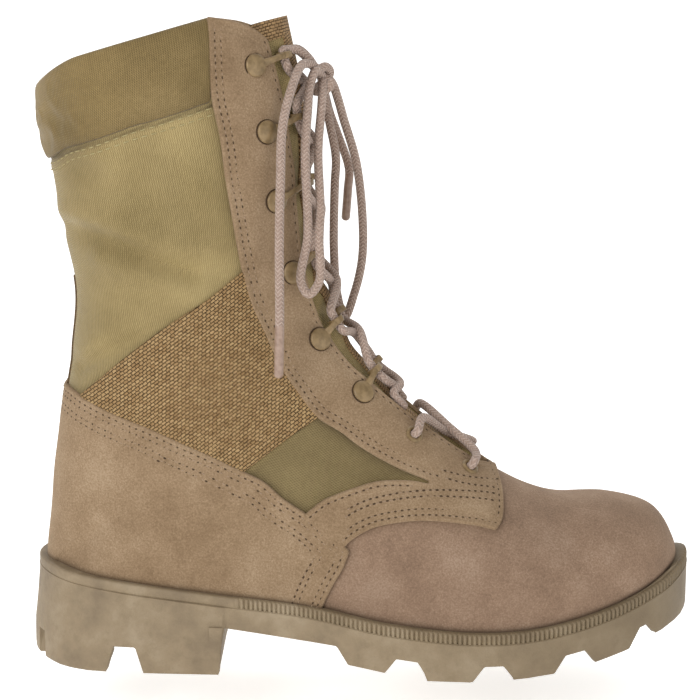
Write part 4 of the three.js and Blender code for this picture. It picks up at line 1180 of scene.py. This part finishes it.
# Webbing bound over the tongue's top edge, and the strip down its middle.
tapes = {"tongue_tape_top": (15.74, 15.97, 0.21), "tongue_tape_middle": (5.6, 15.78, 0.095)}
for name, (first, last, span) in tapes.items():
    tapeSheet = sheetOn(evenRows(first, last, 1.5), np.linspace(-span, span, 41))
    s, u = tapeSheet["data"][:, 0], tapeSheet["data"][:, 1]
    under = tongueRuck(s) + tongueBulge(s, u) + tongueSize["face"]
    points, skin, kind, uv = shell(tapeSheet["data"], tapeSheet["faces"], under + 0.95, under - 0.1)
    tape = makePiece(name, points, skin, [tapeWebbing], None, uv)
print("tongue made")

# ---- backstay tape down the back seam of the shaft ----
backSheet = sheetOn(evenRows(12.6, 14.15, 1.5), -np.linspace(0.945, 1, 9))
mirror = backSheet["data"] * (1, -1, 1, 1, 1)
data = np.vstack([backSheet["data"], mirror])
faces = np.vstack([backSheet["faces"][:, ::-1], backSheet["faces"] + len(mirror)])
points, skin, kind, uv = shell(data, faces, 0.7 + foldAt(data[:, 0], data[:, 1]), -0.3)
backstay = makePiece("backstay_tape", points, skin, [backTape], None, uv)


# ---- stitches ----
stitchSize = {"radius": 0.34, "sink": 0.35, "share": 0.62, "hole": 0.5, "holeRise": 0.16, "slot": 1.6,
              "throatIn": 2.4, "throatPitch": 4.2, "clothPitch": 4.2}


# A stitch is a short capsule, highest in the middle, that dives at both ends; a needle
# hole is a flat dark slot along the row, painted shade in the hole. Both are made as whole arrays along a
# row.
def stitchRow(line, normals, length, radius, sink):
    run = unit(np.gradient(line, axis=0))
    beside = unit(np.cross(normals, run))
    step = np.linspace(-0.5, 0.5, 5)
    drop = -sink * (np.abs(step) * 2) ** 2
    size = radius * np.array([0.25, 0.85, 1, 0.85, 0.25])
    k = np.linspace(0, 2 * pi, 6, endpoint=False)
    centre = (line[:, None] + run[:, None] * (step * length)[None, :, None]
              + normals[:, None] * drop[None, :, None])
    ring = (np.cos(k)[None, None, :, None] * beside[:, None, None]
            + np.sin(k)[None, None, :, None] * normals[:, None, None]) * size[None, :, None, None]
    points = (centre[:, :, None] + ring).reshape(len(line), len(step) * len(k), 3)
    return joined(points, gridFaces(len(step), len(k), False, True))


def holeRow(line, normals):
    run = unit(np.gradient(line, axis=0))
    beside = unit(np.cross(normals, run))
    k = np.linspace(0, 2 * pi, 8, endpoint=False)
    high = stitchSize["holeRise"]
    size, rise = np.array([0.05, 0.8, 1, 0.05]), np.array([high, high * 0.7, -0.1, -0.3])
    ring = (stitchSize["slot"] * np.cos(k)[None, :, None] * run[:, None]
            + np.sin(k)[None, :, None] * beside[:, None])
    points = (line[:, None, None] + ring[:, None] * size[None, :, None, None] * stitchSize["hole"]
              + normals[:, None, None] * rise[None, :, None, None])
    return joined(points.reshape(len(line), 32, 3), gridFaces(4, 8, False, True))


# Even places along a side view line laid on the boot, at the height that heightAt gives
# for each side view point.
def layRow(line, side, pitch, heightAt):
    s, u = placeOn(line, side)
    run = runAlong(lastPoint(s, u))
    at = np.arange(pitch / 2, run[-1], pitch)
    s, u = np.interp(at, run, s), np.interp(at, run, u)
    path, normals = lastPoint(s, u), lastNormal(s, u)
    rise = heightAt(path[:, 0], path[:, 2]) + foldAt(s, u)
    return path + normals * rise[:, None], normals


# The part of a side view line between two lengths x.
def between(line, first, last):
    return line[(line[:, 0] >= first) & (line[:, 0] <= last)]


# Heights of the two suede panels at side view points.
def onCounter(x, z):
    return panelSkin(insideBy(x, z, counterOutline), counterTroughs)


def onFacing(x, z):
    return panelSkin(insideBy(x, z, facingOutline), facingTroughs)


# The row along the throat edge of a facing.
def throatRow(side):
    rows = np.arange(5.75, 15.75, 0.03)
    u = np.array([besideThroat(s, side, stitchSize["throatIn"]) for s in rows])
    run = runAlong(lastPoint(rows, u))
    at = np.arange(1, run[-1], stitchSize["throatPitch"])
    s, u = np.interp(at, run, rows), np.interp(at, run, u)
    normals = lastNormal(s, u)
    return lastPoint(s, u) + normals * (facing - 0.3 + foldAt(s, u))[:, None], normals


# Rows of needle holes and thread on the suede: the line they follow, how far to its left
# they run, their pitch and the panel under them.
facingRow = np.vstack([facingRear[:-1], smoothLine([(183, 86.5), (199, 81), (215, 77)], 2)])
suedeRows = [(between(counterTop, 11, last), away, 3.3, onCounter)
             for last, away in ((148, -2.4), (146, -4.8), (143, -8.6), (141, -11.0))]
suedeRows += [(counterFront[first:], away, 3.3, onCounter)
              for first, away in ((1, -2.4), (1, -4.8), (3, -11.0), (3, -13.4))]
suedeRows += [(facingRow[2:-1], away, 3.1, onFacing) for away in facingTroughs]
suedeRows += [(bandTop[3:-2], 2.4, 3.3, onFacing)]
suedeRows += [(between(bandLow, first, last), away, 3.0, onFacing)
              for first, last, away in ((147, 213, 2.4), (149, 213, 4.9), (151, 211, 9.8), (153, 211, 12.2))]
suedeRows += [(tabFront[2:-8], 2.4, 3.2, onFacing)]
for word, side in sides.items():
    rows = [(*layRow(beside(line, away), side, pitch, heightAt), pitch, pitch * stitchSize["share"])
            for line, away, pitch, heightAt in suedeRows]
    rows.append((*throatRow(side), stitchSize["throatPitch"], 2.6))
    stitchParts, holeParts, clothParts = [], [], []
    for centre, normals, pitch, length in rows:
        stitchParts.append(stitchRow(centre, normals, length, stitchSize["radius"], stitchSize["sink"]))
        ends = centre + unit(np.gradient(centre, axis=0)) * pitch / 2
        holeParts.append(holeRow(ends, normals))
    for away in (-1.1, -3.9):
        centre, normals = layRow(beside(collarSeam[3:-1], away), side, stitchSize["clothPitch"],
                                 lambda x, z: np.full(x.shape, 0.62))
        clothParts.append(stitchRow(centre, normals, 3.3, 0.32, 0.45))
    for name, parts, material, slot in (("panel_thread_", stitchParts, thread, "suede"),
                                        ("needle_holes_", holeParts, paintedShadeDark, "suede"),
                                        ("collar_thread_", clothParts, paleThread, "shaft_nylon")):
        piece = makePiece(name + word, *stacked(parts), [material])
print("stitches made")

# ---- outsole ----
# The moulded body follows the frame's own solid, its edges eased, under a rim that is
# swept round the feather line with a row of ribs from the waist forward. The body's own
# rim is drawn in under it.
soleSize = {"ease": 0.0006, "rimOut": 5.3, "rimHigh": 4.6, "rimIn": 1.5, "ribPitch": 2.1, "ribSteps": 8,
            "ribDeep": 1.0, "ribFrom": 96, "wallOut": 5.4, "heelFlare": 2.8}


# Closed feather line in plan with its heights and outward directions, in even steps.
def featherLoop(pitch):
    s = np.linspace(0, heelBack, 500)
    outer, inner = lastPoint(s, -1.0), lastPoint(s, 1.0)
    loop = evenly(np.vstack([outer[::-1], inner[1:]]), pitch)[:-1]
    run = np.roll(loop, -3, axis=0) - np.roll(loop, 3, axis=0)
    out = unit(np.stack([run[:, 1], -run[:, 0], run[:, 0] * 0], -1))
    outwards = np.sign(((loop - loop.mean(0)) * out).sum(1).mean())
    return loop, out * outwards


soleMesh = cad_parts["outsole"].data.copy()
soleMesh.materials.clear()
soleMesh.materials.append(rubber)
build = bmesh.new()
build.from_mesh(soleMesh)
bmesh.ops.remove_doubles(build, verts=build.verts, dist=2e-5)
bmesh.ops.dissolve_limit(build, angle_limit=0.02, verts=build.verts, edges=build.edges)
build.to_mesh(soleMesh)
build.free()
loop, out = featherLoop(2.0)
places = fromFrame(pointsOf(soleMesh))
near = ((places[:, None, :2] - loop[None, :, :2]) ** 2).sum(2).argmin(1)
beyond = ((places - loop[near]) * out[near]).sum(1)
pull = (beyond > 2.5) & (places[:, 2] > loop[near, 2] + 0.4)
places[pull] -= out[near[pull]] * soleSize["rimIn"]
soleMesh.vertices.foreach_set("co", toFrame(places).ravel())
soleMesh.shade_smooth()
soleMesh.set_sharp_from_angle(angle=0.6)
sole = bpy.data.objects.new("outsole_rubber", soleMesh)
bpy.context.scene.collection.objects.link(sole)
ease = sole.modifiers.new("eased edges", "BEVEL")
ease.width, ease.segments, ease.limit_method, ease.angle_limit = soleSize["ease"], 2, "ANGLE", 0.7
ease.use_clamp_overlap = True
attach(sole, "root")
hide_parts("outsole")

# Rim: a rounded band whose outer face is bitten into by the gaps between the ribs.
loop, out = featherLoop(soleSize["ribPitch"] / soleSize["ribSteps"])
arc = np.arange(len(loop)) / soleSize["ribSteps"]
rib = (0.5 + 0.5 * np.cos(2 * pi * arc)) ** 2 * soleSize["ribDeep"]
rib = rib * np.clip((loop[:, 0] - soleSize["ribFrom"]) / 6, 0, 1)
o, h = soleSize["rimOut"], soleSize["rimHigh"]
section = np.array([(-1.5, 0.1), (1.5, 0.25), (o - 1.5, 0.35), (o - 0.6, 0.2), (o - 0.12, -0.3), (o, -0.9),
                    (o, -h / 2), (o, 0.7 - h), (o - 0.15, 0.3 - h), (o - 0.7, -h), (1.0, -h), (-1.5, -h)])
bite = np.array([0, 0, 0.2, 0.7, 1, 1, 1, 1, 1, 0.6, 0, 0])
ledge = loop[:, 2] + 5.55
n = section[None, :, 0] - bite[None] * rib[:, None]
points = loop[:, None] + out[:, None] * n[..., None]
points[..., 2] = ledge[:, None] + section[None, :, 1]
rim = makePiece("sole_rim_ribbed", points.reshape(-1, 3),
                gridFaces(len(loop), len(section), True, True), [rubber], sharp=0.9)

# Side wall: a band from under the rim down to the tread, its lower edge cut into lugs.
# It stands 5.4 mm outside the feather line and flares to 8.2 mm round the heel.
lugs = [(148, 164.5), (184, 203.5), (222, 240), (259, 275)]
ground = np.array([(146, 6), (165, 2.9), (184, 0), (214, 0), (222, 1), (240, 2.7), (259, 6.2),
                   (275, 9.8), (292, 15)])
hollows = np.array([(91, 21), (127, 16), (147, 13.5), (170, 9.5), (190, 7.2), (206, 7), (225, 7.6),
                    (242, 10.2), (260, 13.5), (277, 18), (292, 22.5)])
tread = [(-5, 0.03), (39, 0.03), (42.5, 12), (52.5, 12), (56, 0.03), (90.2, 0.4), (92.4, 20.9), (127, 16)]
for rear, front in lugs:
    for x, line in ((rear - 5, hollows), (rear, ground), (front, ground), (front + 5, hollows)):
        tread.append((x, float(np.interp(x, line[:, 0], line[:, 1])) + 0.03))
tread = np.array([*tread, (284, 20), (288.5, 14.6), (302.5, 18), (312, 22)])
loop, out = featherLoop(0.8)
rimLow = loop[:, 2] + 5.5 - soleSize["rimHigh"]
flare = np.clip((93.6 - loop[:, 0]) / 1.2, 0, 1)
reach = loop[:, :2] + out[:, :2] * (soleSize["wallOut"] + soleSize["heelFlare"] * flare)[:, None]
foot = np.interp(reach[:, 0], tread[:, 0], tread[:, 1])
foot = np.where((reach[:, 0] < 8.6) & (np.abs(reach[:, 1]) > 15.5), 12, foot)
drop = np.array([-0.12, 0.0, 0.04, 0.2, 0.35, 0.5, 0.65, 0.8, 0.93, 0.985, 1, 1, 0.5, -0.12])
inset = np.array([-0.5, 0.1, 0, 0, 0, 0, 0, 0, 0, -0.15, -0.6, -3.2, -3.2, -3.2])
z = rimLow[:, None] + (foot - rimLow)[:, None] * drop
n = soleSize["wallOut"] + flare[:, None] * np.interp(z, [0, 13, 24, 38], [2.95, 2.8, 1.4, 0]) + inset
points = loop[:, None] + out[:, None] * n[..., None]
points[..., 2] = np.minimum(z, rimLow[:, None] + 0.5)
wall = makePiece("sole_side_wall", points.reshape(-1, 3),
                 gridFaces(len(loop), len(drop), True, True), [rubber], sharp=0.6)
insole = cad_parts["insole"]
insole.data.materials.clear()
insole.data.materials.append(boardFelt)
print("sole made")

# ---- floor, light ----
studio = {"floor": "#f7f7f6", "glow": 0.55, "key": 14, "fill": 3.5, "top": 4, "world": 0.5}
floorRows = np.array([(-3.0, 0.0), (1.2, 0.0), (1.7, 0.08), (2.1, 0.35), (2.3, 0.8), (2.3, 3.0)])
floorLine = smoothLine(floorRows, 0.15)
floorPoints = np.stack([np.stack([np.full(len(floorLine), x), floorLine[:, 0], floorLine[:, 1]], -1)
                        for x in (-4.0, 4.0)], 1)
floorMesh = bpy.data.meshes.new("floor")
floorMesh.from_pydata(floorPoints.reshape(-1, 3), [], gridFaces(len(floorLine), 2)[:, ::-1].tolist())
floorMesh.shade_smooth()
floor = bpy.data.objects.new("floor", floorMesh)
bpy.context.scene.collection.objects.link(floor)
floorMaterial, tree = newMaterial("matt paper sweep")
finish(tree, addNode(tree, "BsdfPrincipled", {"Base Color": fromHex(studio["floor"]), "Roughness": 0.95,
                                              "Specular IOR Level": 0.1,
                                              "Emission Color": (1, 1, 1, 1),
                                              "Emission Strength": studio["glow"]}))
floorMesh.materials.append(floorMaterial)


# Disc lamp at a place, its -Z axis turned to the target.
def areaLight(name, place, target, size, power):
    data = bpy.data.lights.new(name, "AREA")
    data.shape, data.size, data.energy = "DISK", size, power
    light = bpy.data.objects.new(name, data)
    light.location = place
    direction = np.array(target) - np.array(place)
    light.rotation_euler = Vector(direction).to_track_quat("-Z", "Y").to_euler()
    bpy.context.scene.collection.objects.link(light)


areaLight("key", (-0.9, -1.3, 0.75), (0, 0, 0.12), 0.9, studio["key"])
areaLight("fill", (1.2, -1.1, 0.45), (0, 0, 0.12), 1.1, studio["fill"])
areaLight("top", (0.1, 0.5, 1.5), (0, 0, 0.15), 1.0, studio["top"])
world = bpy.data.worlds.new("studio")
world.use_nodes = True
world.node_tree.nodes["Background"].inputs["Color"].default_value = (1, 1, 1, 1)
world.node_tree.nodes["Background"].inputs["Strength"].default_value = studio["world"]
bpy.context.scene.world = world
bpy.context.scene.view_settings.view_transform = "Standard"
print("studio made")
